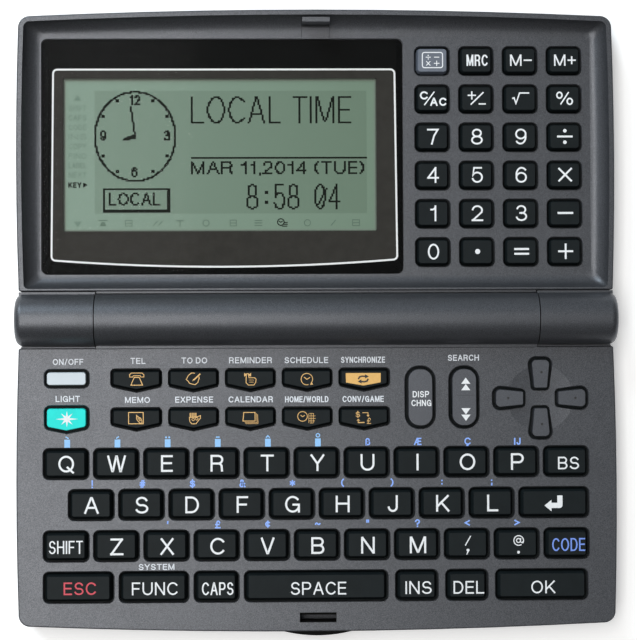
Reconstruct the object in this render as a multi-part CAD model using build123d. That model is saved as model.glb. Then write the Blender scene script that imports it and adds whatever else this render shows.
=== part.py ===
from build123d import *

import os
from math import cos, radians, sin, sqrt

# A folding pocket organizer, opened flat. +X runs to the user's right, +Y away from the user, +Z up.
# The origin is on the table under the hinge axis. The base lies at -Y, the lid at +Y. Millimetres.

# Case outline, the same for both halves
CASE_HALF_WIDTH = 72.1
SIDE_BOW = 0.6
CASE_REACH = 74.8
END_BOW = 1.7
CORNER_RADIUS = 2.8
NEAR_CORNER_RADIUS = 0.5
BACK_EDGE_RADIUS = 2.0
TOP_EDGE_RADIUS = 0.35

# Heights and walls
AXIS_HEIGHT = 10.3
CLOSED_GAP = 0.3
FOOT_DROP = 0.6
CASE_WALL = 1.5
FLOOR_SKIN = 1.5
COVER_SKIN = 1.6
LOWER_CASE_HEIGHT = 5.8
LIP_HEIGHT = 0.8
LIP_GAP = 0.06
LID_LIFT = 0.2
LID_SKIN = 1.4
LID_SHELL_HEIGHT = 5.0
FIELD_DEPTH = 3.0
FIELD_SKIN = 1.4

# Hinge
BARREL_RADIUS = 6.2
BARREL_WALL = 1.3
BARREL_HALF_LENGTH = 72.0
BARREL_END_ROUND = 1.7
BARREL_END_SKIN = 1.8
TROUGH_GAP = 0.3
TROUGH_DEPTH = 2.0
TROUGH_DROP = 0.7
CENTRE_BARREL_HALF = 52.95
BARREL_GAP = 0.25
BASE_NEAR = 6.7
LID_NEAR = 6.92
WEB_GAP = 0.15
GROOVE_DEPTH = 0.1
LEDGE_DROP = 0.35
PIN_RADIUS = 1.5
PIN_LENGTH = 14.6
RUNNING_GAP = 0.05
PARTITION = 4.0
BEARING_LENGTH = 4.45
CLIP_LENGTH = 3.5
CLIP_THICKNESS = 0.78
CLIP_GAP = 0.02
CLIP_SLIT = 0.8
BUSH_RADIUS = 3.1
BUSH_WALL = 0.75
BUSH_LENGTH = 9.4

# Flexible cable that is rolled through the hollow bush
CABLE_THICKNESS = 0.2
CABLE_ROLL_GAP = 0.15
CABLE_WIDTH = 6.0
CABLE_FOOT = 1.0
CABLE_SLOT_MARGIN = 0.15

# Lid rim, cove and field
RIM_WIDTH = 1.25
NEAR_RIM_WIDTH = 0.6
COVE_STEPS = 5
FIELD_HALF_WIDTH = 66.7
FIELD_NEAR = 10.7
FIELD_FAR = 68.55
FIELD_CORNER = 1.7
RIM_CORNER = 1.5
NEAR_RIM_CORNER = 1.2

# Display
WINDOW_CENTRE = (-22.6, 39.6)
WINDOW_SIZE = (87.4, 57.0)
WINDOW_CORNER = 1.5
WINDOW_PROUD = 0.4
WINDOW_THICKNESS = 1.2
WINDOW_GAP = 0.1
WINDOW_EDGE = 0.35
MASK_THICKNESS = 0.1
LCD_CENTRE = (-23.2, 40.05)
LCD_APERTURE = (75.8, 37.1)
LCD_MARGIN = 2.2
LCD_LEDGE = 1.4
GLASS_THICKNESS = 0.75
LCD_DROP = 0.5
LCD_GAP = 0.3
BACKLIGHT_THICKNESS = 0.3
HOLDER_WALL = 2.6
HOLDER_CLEARANCE = 0.2
STACK_GAP = 0.03
ZEBRA_WIDTH = 1.2
ZEBRA_LENGTH = 70.0

# Keys
KEY_PITCH = 12.0
ROW_PITCH = 9.83
KEY_WELL = (10.9, 7.4)
KEY_CORNER = 1.4
FIRST_KEY_X = -60.19
FIRST_ROW_Y = -34.4
KEYS_IN_ROW = 11
HOME_ROW_KEYS = 9
HOME_ROW_SHIFT = 6.0
BOTTOM_ROW = ((16.8, 0.0), (16.6, 1.3), (10.7, 1.3), (34.4, 1.3), (10.2, 1.85), (10.15, 1.85), (22.2, 1.85))
CALCULATOR_PITCH = (10.69, 9.29)
CALCULATOR_WELL = (8.41, 6.97)
CALCULATOR_FIRST = (28.27, 62.7)
CALCULATOR_COLUMNS = 4
CALCULATOR_ROWS = 6
FUNCTION_PITCH = 13.63
FUNCTION_ROW_PITCH = 9.3
FUNCTION_FIRST = (-43.3, -11.75)
FUNCTION_WELL = (12.3, 4.2)
FUNCTION_POINT = 1.35
CHANNEL_DEPTH = 0.25
SIDE_KEY_X = -60.0
ON_OFF_Y = -14.0
ON_OFF_WELL = (10.65, 4.4)
LIGHT_TOP = -20.5
LIGHT_WELL = (10.65, 5.5)
LIGHT_POINT = 1.1
DISPLAY_CHANGE_CENTRE = (24.75, -18.85)
SEARCH_CENTRE = (35.3, -18.85)
PILL_WELL = (7.2, 14.95)
PILL_CORNER = 3.3
CURSOR_CENTRE = (53.7, -19.15)
CURSOR_REACH = (11.5, 9.9)
CURSOR_HOLLOW = (3.5, 1.75)
CURSOR_OUTER = 6.0
CURSOR_INNER = 4.4
CURSOR_CORNER = 1.1
CURSOR_OUTER_CORNER = 1.8
DISH_RADIUS = 7.95
DISH_DEPTH = 0.3
KEY_PROUD = 1.0
KEY_TRAVEL = 0.8
KEY_STEP = 0.25
BLACK_KEY_INSET = 1.05
COLOUR_KEY_STEP = 0.6
COLOUR_KEY_INSET = 0.8
KEY_TOP_BEVEL = 0.2
WELL_FLARE = 0.2
FLANGE_MARGIN = 0.4
FLANGE_THICKNESS = 0.7
FLANGE_GAP = 0.1
ROCKER_DROP = 0.5
ROCKER_CREASE = 0.15

# Rubber mats and boards
MAT_THICKNESS = 0.5
MAT_MARGIN = 1.2
DOME_HEIGHT = 0.8
LID_DOME_HEIGHT = 1.2
DOME_RADIUS = 2.0
DOME_TOP_RADIUS = 1.4
DOME_GAP = 0.05
BOARD_THICKNESS = 1.0
LID_BOARD_THICKNESS = 0.8
BOARD_HALF_WIDTH = 66.0
BOARD_NEAR = 9.2
BOARD_FAR = 68.0

# Screws, posts and feet
SCREW_RADIUS = 0.8
SCREW_HEAD_RADIUS = 1.8
SCREW_HEAD_HEIGHT = 0.85
SCREW_CLEARANCE = 0.12
HEAD_POCKET = 1.0
SCREW_LENGTH = 6.0
LID_SCREW_LENGTH = 5.4
BOSS_RADIUS = 1.75
BOSS_SPLIT = 5.0
CASE_SCREW_PLACES = ((-68.2, -10.4), (68.2, -10.4), (-68.2, -41.0), (68.2, -41.0), (-66.9, -69.95), (66.9, -69.95))
LID_SCREW_PLACES = ((-68.2, 11.2), (68.2, 11.2), (-67.6, 70.2), (67.6, 70.2))
POST_RADIUS = 1.5
BASE_POSTS = ((-61.0, -17.0), (61.0, -17.0), (-61.0, -62.0), (61.0, -62.0), (-38.0, -40.0), (38.0, -40.0), (-22.0, -63.0),
              (22.0, -63.0), (0.0, -10.6))
LID_POSTS = ((-60.0, 14.0), (60.0, 14.0), (-60.0, 63.0), (60.0, 63.0), (0.0, 14.0), (0.0, 63.0), (24.0, 38.0), (-36.0, 38.0))
FOOT_RADIUS = 4.0
FOOT_SEAT = 0.4
FOOT_GAP = 0.1
FOOT_PLACES = ((-57.0, -15.0), (57.0, -15.0), (-57.0, -65.0), (57.0, -65.0))

# Cells and their cover
CELL_RADIUS = 10.0
CELL_HEIGHT = 3.2
CELL_PITCH = 21.2
CELL_Y = -23.5
CELL_GAP = 0.3
CELL_COVER = 1.0
CELL_COVER_GAP = 0.15
CELL_COVER_LAP = 1.2
CELL_TAB = (7.0, 4.6)
CELL_SCREW_LENGTH = 3.0
CELL_RIB = 1.0
CONTACT_SIZE = (7.0, 4.0)

# Parts on the boards
PROCESSOR_SIZE = (20.0, 14.0, 1.8)
PROCESSOR_PLACE = (-14.0, -50.0)
MEMORY_SIZE = (12.0, 8.0, 1.2)
MEMORY_PLACES = ((10.0, -45.0), (10.0, -56.0))
CRYSTAL_RADIUS = 1.0
CRYSTAL_LENGTH = 6.0
CRYSTAL_PLACE = (-34.0, -52.0)
BUZZER_RADIUS = 8.0
BUZZER_THICKNESS = 0.5
BUZZER_PLACE = (46.0, -50.0)
DRIVER_SIZE = (9.0, 9.0, 0.7)
DRIVER_PLACES = ((-48.0, 30.0), (-10.0, 30.0))

# Data jack in the right side wall
JACK_Y = -26.5
JACK_HEIGHT = 4.2
JACK_BORE_RADIUS = 1.27
JACK_BORE_DEPTH = 11.0
JACK_NOSE_RADIUS = 1.9
JACK_BODY = (5.4, 4.2)
JACK_WALL = 1.1
JACK_GAP = 0.1
JACK_RECESS = 0.1

# Catch: hook on the lid, slot and sprung button on the base
HOOK_HALF_WIDTH = 3.3
HOOK_STEM = (71.15, 72.25)
HOOK_NOSE = 70.6
HOOK_NOSE_HEIGHT = 1.0
HOOK_HEIGHT = 4.05
HOOK_FOOT_NEAR = 68.15
HOOK_GAP = 0.1
HOOK_HOLLOW = 1.0
HOOK_SLIT = 0.4
SLOT_HALF_WIDTH = 4.4
SLOT_SPAN = (70.25, 72.6)
BUTTON_HALF_WIDTH = 9.2
BUTTON_BULGE = 1.2
BUTTON_BOTTOM = 3.2
BUTTON_TOP = 8.1
BUTTON_GAP = 0.2
BUTTON_TRAVEL = 1.0
BUTTON_FLANGE = (1.5, 0.6)
BUTTON_ARM = (3.2, 2.0)
BUTTON_BAR = (66.8, 65.4)
CATCH_HALF_WIDTH = 4.6
CATCH_LEDGE = (71.0, 69.4)
CATCH_LEDGE_THICKNESS = 0.9
CATCH_POST = 70.2
CATCH_ROOF_GAP = 0.15
SPRING_RADIUS = 0.8
SPRING_WIRE = 0.17
SPRING_TURNS = 5
SPRING_LENGTH = 4.2
SPRING_RIB = 1.2

# Reset button in the floor
RESET_PLACE = (30.0, -50.0)
RESET_RADIUS = 1.1
RESET_GAP = 0.1
RESET_FLANGE = (1.9, 0.7)
RESET_RECESS = 0.2
RESET_TOP = 4.8

# Heights that follow from the sizes above
BASE_TOP = AXIS_HEIGHT - CLOSED_GAP / 2
PLATE_UNDER = BASE_TOP - COVER_SKIN
BASE_SEAM = FOOT_DROP + LOWER_CASE_HEIGHT
BASE_FLOOR = FOOT_DROP + FLOOR_SKIN
FLANGE_TOP = PLATE_UNDER - FLANGE_GAP
MAT_TOP = FLANGE_TOP - FLANGE_THICKNESS - DOME_GAP - DOME_HEIGHT
BOARD_TOP = MAT_TOP - MAT_THICKNESS
BOARD_UNDER = BOARD_TOP - BOARD_THICKNESS
LID_TOP = AXIS_HEIGHT - CLOSED_GAP / 2
LID_SEAM = LID_LIFT + LID_SHELL_HEIGHT
LID_FLOOR = LID_LIFT + LID_SKIN
FIELD_TOP = LID_TOP - FIELD_DEPTH
FIELD_UNDER = FIELD_TOP - FIELD_SKIN
LID_FLANGE_TOP = FIELD_UNDER - FLANGE_GAP
LID_MAT_TOP = LID_FLANGE_TOP - FLANGE_THICKNESS - DOME_GAP - LID_DOME_HEIGHT
LID_BOARD_TOP = LID_MAT_TOP - MAT_THICKNESS
LID_BOARD_UNDER = LID_BOARD_TOP - LID_BOARD_THICKNESS
WINDOW_TOP = FIELD_TOP + WINDOW_PROUD
WINDOW_UNDER = WINDOW_TOP - WINDOW_THICKNESS
MASK_UNDER = WINDOW_UNDER - MASK_THICKNESS
BARREL_BORE = BARREL_RADIUS - BARREL_WALL
END_BARREL_START = CENTRE_BARREL_HALF + BARREL_GAP
WEB_BOTTOM = AXIS_HEIGHT - BARREL_RADIUS
BASE = -1
LID = 1


def box(x0, x1, y0, y1, z0, z1):
    """A block between two opposite corners."""
    centre = Pos((x0 + x1) / 2, (y0 + y1) / 2, (z0 + z1) / 2)
    return centre * Box(abs(x1 - x0), abs(y1 - y0), abs(z1 - z0))


def slab(face, z0, z1):
    """A flat outline raised from one height to another."""
    return extrude(Pos(0, 0, z0) * face, amount=z1 - z0, dir=(0, 0, 1))


def rod_z(x, y, z0, z1, radius):
    """An upright cylinder."""
    return Pos(x, y, (z0 + z1) / 2) * Cylinder(radius, z1 - z0)


def rod_x(x0, x1, radius, y=0.0, z=AXIS_HEIGHT):
    """A cylinder along X, on the hinge axis unless y and z say otherwise."""
    return Pos((x0 + x1) / 2, y, z) * Rot(0, 90, 0) * Cylinder(radius, abs(x1 - x0))


def case_outline(side, near, inset=0.0, end_bow=END_BOW, far_radius=CORNER_RADIUS, extra=(0.0, 0.0, 0.0)):
    """The outline of one half of the case, drawn in by inset; extra draws in the sides, near and far edges more."""
    middle_half = CASE_HALF_WIDTH - inset - extra[0]
    end_half = middle_half - SIDE_BOW
    reach = CASE_REACH - inset - extra[2]
    start = near + inset + extra[1]
    corner = reach - end_bow
    middle = (start + corner) / 2
    with BuildSketch() as sketch:
        with BuildLine():
            Line((-end_half, side * start), (end_half, side * start))
            ThreePointArc((end_half, side * start), (middle_half, side * middle), (end_half, side * corner))
            ThreePointArc((end_half, side * corner), (0, side * reach), (-end_half, side * corner))
            ThreePointArc((-end_half, side * corner), (-middle_half, side * middle), (-end_half, side * start))
        make_face()
        by_reach = sketch.vertices().sort_by(lambda v: abs(v.Y))
        fillet(by_reach[-2:], max(far_radius - inset, NEAR_CORNER_RADIUS))
        fillet(sketch.vertices().sort_by(lambda v: abs(v.Y))[:2], NEAR_CORNER_RADIUS)
    return sketch.sketch


def side_at(y, near):
    """How far the side of the case is from the middle at a distance y from the hinge axis."""
    corner = CASE_REACH - END_BOW
    middle = (near + corner) / 2
    return CASE_HALF_WIDTH - SIDE_BOW * ((abs(y) - middle) / (corner - middle)) ** 2


def rounded(width, height, radius, x=0.0, y=0.0):
    """A rectangle with round corners."""
    return Pos(x, y) * RectangleRounded(width, height, radius)


def pointed(width, height, point, radius):
    """The outline of a function key: straight at the far side, with a shallow point at the near side."""
    outline = Polyline((-width / 2, 0), (width / 2, 0), (width / 2, -height), (0, -height - point),
                       (-width / 2, -height), close=True)
    face = make_face(outline)
    corners = face.vertices().filter_by(lambda v: abs(v.X) > width / 4)
    return fillet(corners, radius)


def petal(inner, outer, hollow, reach, radius, outer_radius):
    """The outline of a cursor key that points along +Y and widens outwards."""
    outline = Polyline((-inner / 2, hollow), (inner / 2, hollow), (outer / 2, reach), (-outer / 2, reach), close=True)
    face = make_face(outline)
    corners = face.vertices().sort_by(Axis.Y)
    face = fillet(corners[-2:], outer_radius)
    return fillet(face.vertices().sort_by(Axis.Y)[:2], radius)


class Key:
    """One key: its well outline round its own centre, its place and how its cap is drawn in."""

    def __init__(self, face, x, y, step=KEY_STEP, inset=BLACK_KEY_INSET, drop=0.0, domes=((0.0, 0.0),)):
        self.face = face
        self.x = x
        self.y = y
        self.step = step
        self.inset = inset
        self.drop = drop
        self.domes = domes

    def placed(self, grow=0.0):
        """The outline at its place, larger by grow."""
        face = self.face if grow == 0.0 else offset(self.face, amount=grow)
        return Pos(self.x, self.y) * face

    def well(self, under, top):
        """What the key's hole takes out of a plate, with a small flare at its mouth."""
        hole = slab(self.placed(), under - 1.0, top + 1.0)
        low = Pos(0, 0, top - WELL_FLARE) * self.placed()
        high = Pos(0, 0, top + WELL_FLARE) * self.placed(2 * WELL_FLARE)
        return [hole, loft([low.face(), high.face()], ruled=True)]

    def solid(self, under, top):
        """The cap with its flange, for a plate between two heights."""
        flange_top = under - FLANGE_GAP - self.drop
        cap_top = top + KEY_PROUD
        low = Pos(0, 0, flange_top) * self.placed(-self.step)
        shoulder = Pos(0, 0, cap_top - KEY_TOP_BEVEL) * self.placed(KEY_TOP_BEVEL / 2 - self.inset)
        high = Pos(0, 0, cap_top) * self.placed(-self.inset)
        cap = loft([low.face(), shoulder.face(), high.face()], ruled=True)
        flange = slab(self.placed(FLANGE_MARGIN), flange_top - FLANGE_THICKNESS, flange_top)
        return cap + flange

    def dome_places(self):
        """Where the rubber domes under the key stand."""
        return [(self.x + dx, self.y + dy) for dx, dy in self.domes]


def letter_key(x, y, width=KEY_WELL[0]):
    """A black typewriter key."""
    return Key(rounded(width, KEY_WELL[1], KEY_CORNER), x, y)


def row_y(row):
    """The middle of a typewriter row, counted from the far one."""
    return FIRST_ROW_Y - ROW_PITCH * row


def full_row(row):
    """A row of equal keys."""
    return [letter_key(FIRST_KEY_X + KEY_PITCH * i, row_y(row)) for i in range(KEYS_IN_ROW)]


def keyboard_edges():
    """The left and right ends of the typewriter block."""
    left = FIRST_KEY_X - KEY_WELL[0] / 2
    return left, left + KEY_PITCH * (KEYS_IN_ROW - 1) + KEY_WELL[0]


def home_row():
    """The second row: letters half a key to the right, and a wide enter key that ends with the rows."""
    first = FIRST_KEY_X + HOME_ROW_SHIFT
    keys = [letter_key(first + KEY_PITCH * i, row_y(1)) for i in range(HOME_ROW_KEYS)]
    left = first + KEY_PITCH * HOME_ROW_KEYS - KEY_WELL[0] / 2
    right = keyboard_edges()[1]
    keys.append(letter_key((left + right) / 2, row_y(1), right - left))
    return keys


def bottom_row():
    """The near row of keys of different widths."""
    keys = []
    left = keyboard_edges()[0]
    for width, gap in BOTTOM_ROW:
        left += gap
        keys.append(letter_key(left + width / 2, row_y(3), width))
        left += width
    return keys


def function_key(column, row):
    """One of the ten pointed function keys."""
    x = FUNCTION_FIRST[0] + FUNCTION_PITCH * column
    y = FUNCTION_FIRST[1] - FUNCTION_ROW_PITCH * row
    face = pointed(*FUNCTION_WELL, FUNCTION_POINT, KEY_CORNER * 0.7)
    return Key(face, x, y, inset=COLOUR_KEY_INSET, domes=((0.0, -FUNCTION_WELL[1] / 2),))


def colour_key(face, x, y, **more):
    """A key with a straight-sided cap in a wider well."""
    return Key(face, x, y, step=COLOUR_KEY_STEP, inset=COLOUR_KEY_INSET, **more)


def cursor_key(angle):
    """A cursor key; angle turns it from pointing along +Y."""
    across = angle % 180 != 0
    reach = CURSOR_REACH[0] if across else CURSOR_REACH[1]
    hollow = CURSOR_HOLLOW[0] if across else CURSOR_HOLLOW[1]
    face = Rot(0, 0, angle) * petal(CURSOR_INNER, CURSOR_OUTER, hollow, reach, CURSOR_CORNER,
                                    CURSOR_OUTER_CORNER)
    middle = (reach + hollow) / 2
    dome = (-middle * sin(radians(angle)), middle * cos(radians(angle)))
    return colour_key(face, *CURSOR_CENTRE, domes=(dome,))


def base_keys():
    """Every key group of the base by node name."""
    names = ("telephone_key", "to_do_key", "reminder_key", "schedule_key", "transfer_key",
             "memo_key", "expense_key", "calendar_key", "world_time_key", "conversion_key")
    groups = {name: [function_key(i % 5, i // 5)] for i, name in enumerate(names)}
    groups["on_off_key"] = [colour_key(rounded(*ON_OFF_WELL, KEY_CORNER), SIDE_KEY_X, ON_OFF_Y)]
    light = pointed(*LIGHT_WELL, LIGHT_POINT, KEY_CORNER)
    groups["light_key"] = [colour_key(light, SIDE_KEY_X, LIGHT_TOP, domes=((0.0, -LIGHT_WELL[1] / 2),))]
    pill = rounded(*PILL_WELL, PILL_CORNER)
    groups["display_change_key"] = [colour_key(pill, *DISPLAY_CHANGE_CENTRE)]
    quarter = PILL_WELL[1] / 4
    groups["search_rocker"] = [
        colour_key(pill, *SEARCH_CENTRE, drop=ROCKER_DROP, domes=((0.0, quarter), (0.0, -quarter)))]
    for name, angle in (("cursor_up_key", 0), ("cursor_left_key", 90), ("cursor_down_key", 180), ("cursor_right_key", 270)):
        groups[name] = [cursor_key(angle)]
    groups["upper_letter_keys"] = full_row(0)
    groups["middle_letter_keys"] = home_row()
    groups["lower_letter_keys"] = full_row(2)
    groups["bottom_row_keys"] = bottom_row()
    return groups


def calculator_keys():
    """The calculator keys by node name, a column in each."""
    groups = {}
    for column in range(CALCULATOR_COLUMNS):
        x = CALCULATOR_FIRST[0] + CALCULATOR_PITCH[0] * column
        keys = []
        for row in range(CALCULATOR_ROWS):
            y = CALCULATOR_FIRST[1] - CALCULATOR_PITCH[1] * row
            face = rounded(*CALCULATOR_WELL, KEY_CORNER)
            keys.append(Key(face, x, y, inset=COLOUR_KEY_INSET))
        groups[f"calculator_keys_{column + 1}"] = keys
    return groups


def key_node(keys, under, top):
    """The caps of one node."""
    return [key.solid(under, top) for key in keys]


def rubber_mat(outline, keys, mat_top, dome_height):
    """A rubber sheet with a dome under each key."""
    mat = slab(outline, mat_top - MAT_THICKNESS, mat_top)
    domes = []
    for key in keys:
        for x, y in key.dome_places():
            height = dome_height - key.drop
            domes.append(Pos(x, y, mat_top + height / 2) * Cone(DOME_RADIUS, DOME_TOP_RADIUS, height))
    return mat + domes


def screw(x, y, head_bottom, length, head_height=SCREW_HEAD_HEIGHT):
    """A countersunk self-tapping screw driven upwards, with a cross slot in its head."""
    head = rod_z(x, y, head_bottom, head_bottom + head_height, SCREW_HEAD_RADIUS)
    shank = rod_z(x, y, head_bottom + head_height, head_bottom + head_height + length, SCREW_RADIUS)
    arm = SCREW_HEAD_RADIUS * 0.6
    blade = SCREW_RADIUS * 0.22
    cross_depth = head_height * 0.6
    cross = [box(x - arm, x + arm, y - blade, y + blade, head_bottom - 1, head_bottom + cross_depth),
             box(x - blade, x + blade, y - arm, y + arm, head_bottom - 1, head_bottom + cross_depth)]
    return head + shank - cross


def screw_hole(x, y, back, top):
    """A pocket for the head and a clearance hole for the shank."""
    pocket = rod_z(x, y, back - 1, back + HEAD_POCKET, SCREW_HEAD_RADIUS + SCREW_CLEARANCE)
    return [pocket, rod_z(x, y, back, top, SCREW_RADIUS + SCREW_CLEARANCE)]


def cell_outline(grow=0.0):
    """The outline of the cell compartment, larger by grow."""
    width = 2 * (CELL_PITCH + CELL_RADIUS + CELL_GAP + grow)
    depth = 2 * (CELL_RADIUS + CELL_GAP + grow)
    return rounded(width, depth, 1.0 + max(grow, 0.0), 0.0, CELL_Y)


def cell_tab_place():
    """The screw of the cell cover."""
    return 0.0, CELL_Y - CELL_RADIUS - CELL_GAP - CELL_COVER_LAP - CELL_TAB[1] / 2


def cell_cover_outline(grow=0.0):
    """The outline of the cell cover with its screw tab."""
    x, y = cell_tab_place()
    tab = rounded(CELL_TAB[0] + 2 * grow, CELL_TAB[1] + 2 * CELL_COVER_LAP + 2 * grow, 1.0 + grow, x, y + CELL_COVER_LAP)
    return cell_outline(CELL_COVER_LAP + grow) + tab


def lower_case():
    """The tray under the base: floor, walls, lip, bosses, posts, cell compartment, catch and jack openings."""
    outer = slab(case_outline(BASE, BASE_NEAR), FOOT_DROP, BASE_SEAM)
    outer = fillet(outer.edges().group_by(Axis.Z)[0], BACK_EDGE_RADIUS)
    cavity = slab(case_outline(BASE, BASE_NEAR, CASE_WALL), BASE_FLOOR, BASE_SEAM + 1)
    lip_outer = case_outline(BASE, BASE_NEAR, CASE_WALL / 2 + LIP_GAP)
    lip = slab(lip_outer, BASE_SEAM - LIP_HEIGHT, BASE_SEAM + LIP_HEIGHT)
    body = outer + lip - cavity
    adds = []
    cuts = []
    for x, y in CASE_SCREW_PLACES:
        adds.append(rod_z(x, y, BASE_FLOOR - 0.5, BOSS_SPLIT, BOSS_RADIUS))
        cuts += screw_hole(x, y, FOOT_DROP, BOSS_SPLIT + 1)
    for x, y in BASE_POSTS:
        adds.append(rod_z(x, y, BASE_FLOOR - 0.5, BOARD_UNDER, POST_RADIUS))
    for x, y in FOOT_PLACES:
        cuts.append(rod_z(x, y, 0, FOOT_DROP + FOOT_SEAT, FOOT_RADIUS + FOOT_GAP))
    rib = cell_outline(CELL_RIB)
    adds.append(slab(rib, BASE_FLOOR - 0.3, BOARD_UNDER - CELL_GAP))
    tab_x, tab_y = cell_tab_place()
    adds.append(rod_z(tab_x, tab_y, BASE_FLOOR - 0.3, BOARD_UNDER - CELL_GAP, BOSS_RADIUS))
    cuts.append(slab(cell_outline(), 0, BOARD_UNDER + 1))
    cuts.append(slab(cell_cover_outline(CELL_COVER_GAP), 0, FOOT_DROP + CELL_COVER))
    cell_screw_top = FOOT_DROP + SCREW_HEAD_HEIGHT + CELL_SCREW_LENGTH
    cuts.append(rod_z(tab_x, tab_y, FOOT_DROP, cell_screw_top, SCREW_RADIUS))
    rib_y = -BUTTON_BAR[1] + SPRING_LENGTH
    spring_z = BUTTON_BOTTOM + BUTTON_ARM[1] / 2
    adds.append(box(-2.0, 2.0, rib_y, rib_y + SPRING_RIB, BASE_FLOOR - 0.3, spring_z + SPRING_RADIUS))
    reset_x, reset_y = RESET_PLACE
    cuts.append(rod_z(reset_x, reset_y, 0, BASE_FLOOR + 1, RESET_RADIUS + RESET_GAP))
    cuts.append(button_opening())
    cuts.append(jack_hole())
    return body + adds - cuts


def button_opening():
    """The opening in the front walls for the catch button."""
    half = BUTTON_HALF_WIDTH + BUTTON_GAP
    return box(-half, half, -CASE_REACH - 2, -CASE_REACH + CASE_WALL + 0.6, BUTTON_BOTTOM - BUTTON_GAP,
               BUTTON_TOP + BUTTON_GAP)


def jack_hole():
    """The hole in the side wall for the nose of the data jack."""
    side = side_at(JACK_Y, BASE_NEAR)
    return rod_x(side - CASE_WALL - 1, side + 1, JACK_NOSE_RADIUS + JACK_GAP / 2, JACK_Y, JACK_HEIGHT)


def centre_barrel():
    """The hinge barrel of the base with its web, end partitions and cable slot."""
    barrel = rod_x(-CENTRE_BARREL_HALF, CENTRE_BARREL_HALF, BARREL_RADIUS)
    web_top = BASE_TOP - GROOVE_DEPTH
    web = box(-CENTRE_BARREL_HALF, CENTRE_BARREL_HALF, -BASE_NEAR + RUNNING_GAP, 0, WEB_BOTTOM, web_top)
    joint = box(-CENTRE_BARREL_HALF, CENTRE_BARREL_HALF, -BASE_NEAR - CASE_WALL / 2, -BASE_NEAR + 1, BASE_SEAM, web_top)
    hollow_left = -CENTRE_BARREL_HALF + BEARING_LENGTH + CLIP_LENGTH
    hollow_right = CENTRE_BARREL_HALF - BEARING_LENGTH
    clip_start = -CENTRE_BARREL_HALF + BEARING_LENGTH
    bores = [rod_x(hollow_left, hollow_right, BARREL_BORE),
             rod_x(-CENTRE_BARREL_HALF - 1, clip_start + 1, PIN_RADIUS + RUNNING_GAP),
             rod_x(clip_start, hollow_left + 1, PIN_RADIUS + CLIP_GAP + CLIP_THICKNESS),
             rod_x(hollow_right - 1, CENTRE_BARREL_HALF + 1, BUSH_RADIUS + RUNNING_GAP)]
    return barrel + [web, joint] - bores


def trough(side, x0, x1, near, seam, top):
    """A wedge that runs along the near edge of a half and follows the barrel of the other half."""
    wedge = box(x0, x1, side * (near + CASE_WALL / 2), side * (near - TROUGH_DEPTH), seam, top - TROUGH_DROP)
    return wedge - rod_x(x0 - 1, x1 + 1, BARREL_RADIUS + TROUGH_GAP)


def cable_levels():
    """The radius of the cable's roll and the underside of its straight parts."""
    radius = BUSH_RADIUS - BUSH_WALL - CABLE_ROLL_GAP
    return radius, AXIS_HEIGHT - radius


def cable_places():
    """The X range of the cable on the base side and on the lid side of the bush."""
    base_end = CENTRE_BARREL_HALF - BEARING_LENGTH - 1.5
    lid_start = END_BARREL_START + PARTITION + 1.3
    return (base_end - CABLE_WIDTH, base_end), (lid_start, lid_start + CABLE_WIDTH)


def keyboard_cover():
    """The top of the base: plate with key wells, walls, bosses, dish, catch slot and the centre barrel."""
    outer = slab(case_outline(BASE, BASE_NEAR), BASE_SEAM, BASE_TOP)
    outer = fillet(outer.edges().group_by(Axis.Z)[-1], TOP_EDGE_RADIUS)
    cavity = slab(case_outline(BASE, BASE_NEAR, CASE_WALL), BASE_SEAM - 1, PLATE_UNDER)
    rabbet = slab(case_outline(BASE, BASE_NEAR, CASE_WALL / 2), BASE_SEAM - 1, BASE_SEAM + LIP_HEIGHT + LIP_GAP)
    body = outer + centre_barrel() - [cavity, rabbet]
    trough_end = side_at(BASE_NEAR, BASE_NEAR) - NEAR_CORNER_RADIUS
    adds = [trough(BASE, -trough_end, -END_BARREL_START, BASE_NEAR, BASE_SEAM, BASE_TOP),
            trough(BASE, END_BARREL_START, trough_end, BASE_NEAR, BASE_SEAM, BASE_TOP)]
    cuts = []
    for x, y in CASE_SCREW_PLACES:
        adds.append(rod_z(x, y, BOSS_SPLIT, PLATE_UNDER + 0.3, BOSS_RADIUS))
        cuts.append(rod_z(x, y, BOSS_SPLIT - 1, FOOT_DROP + HEAD_POCKET + SCREW_LENGTH + 0.2, SCREW_RADIUS))
    for keys in base_keys().values():
        for key in keys:
            cuts += key.well(PLATE_UNDER, BASE_TOP)
    dish_sphere = (DISH_RADIUS ** 2 + DISH_DEPTH ** 2) / (2 * DISH_DEPTH)
    ball = Pos(*CURSOR_CENTRE, BASE_TOP - DISH_DEPTH + dish_sphere) * Sphere(dish_sphere)
    cuts.append(ball & rod_z(*CURSOR_CENTRE, PLATE_UNDER, BASE_TOP + DISH_DEPTH, DISH_RADIUS))
    first_x = FUNCTION_FIRST[0]
    last_x = first_x + FUNCTION_PITCH * 4
    for row in range(2):
        top = FUNCTION_FIRST[1] - FUNCTION_ROW_PITCH * row
        cuts.append(box(first_x, last_x, top - FUNCTION_WELL[1], top, BASE_TOP - CHANNEL_DEPTH, BASE_TOP + 1))
    cuts.append(box(-SLOT_HALF_WIDTH, SLOT_HALF_WIDTH, -SLOT_SPAN[1], -SLOT_SPAN[0], PLATE_UNDER - 1, BASE_TOP + 1))
    cuts.append(button_opening())
    (x0, x1), _ = cable_places()
    low = cable_levels()[1]
    margin = CABLE_SLOT_MARGIN
    cuts.append(box(x0 - margin, x1 + margin, -BASE_NEAR - CASE_WALL - 1, 0, low - margin,
                    low + CABLE_THICKNESS + margin))
    return body + adds - cuts


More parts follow.
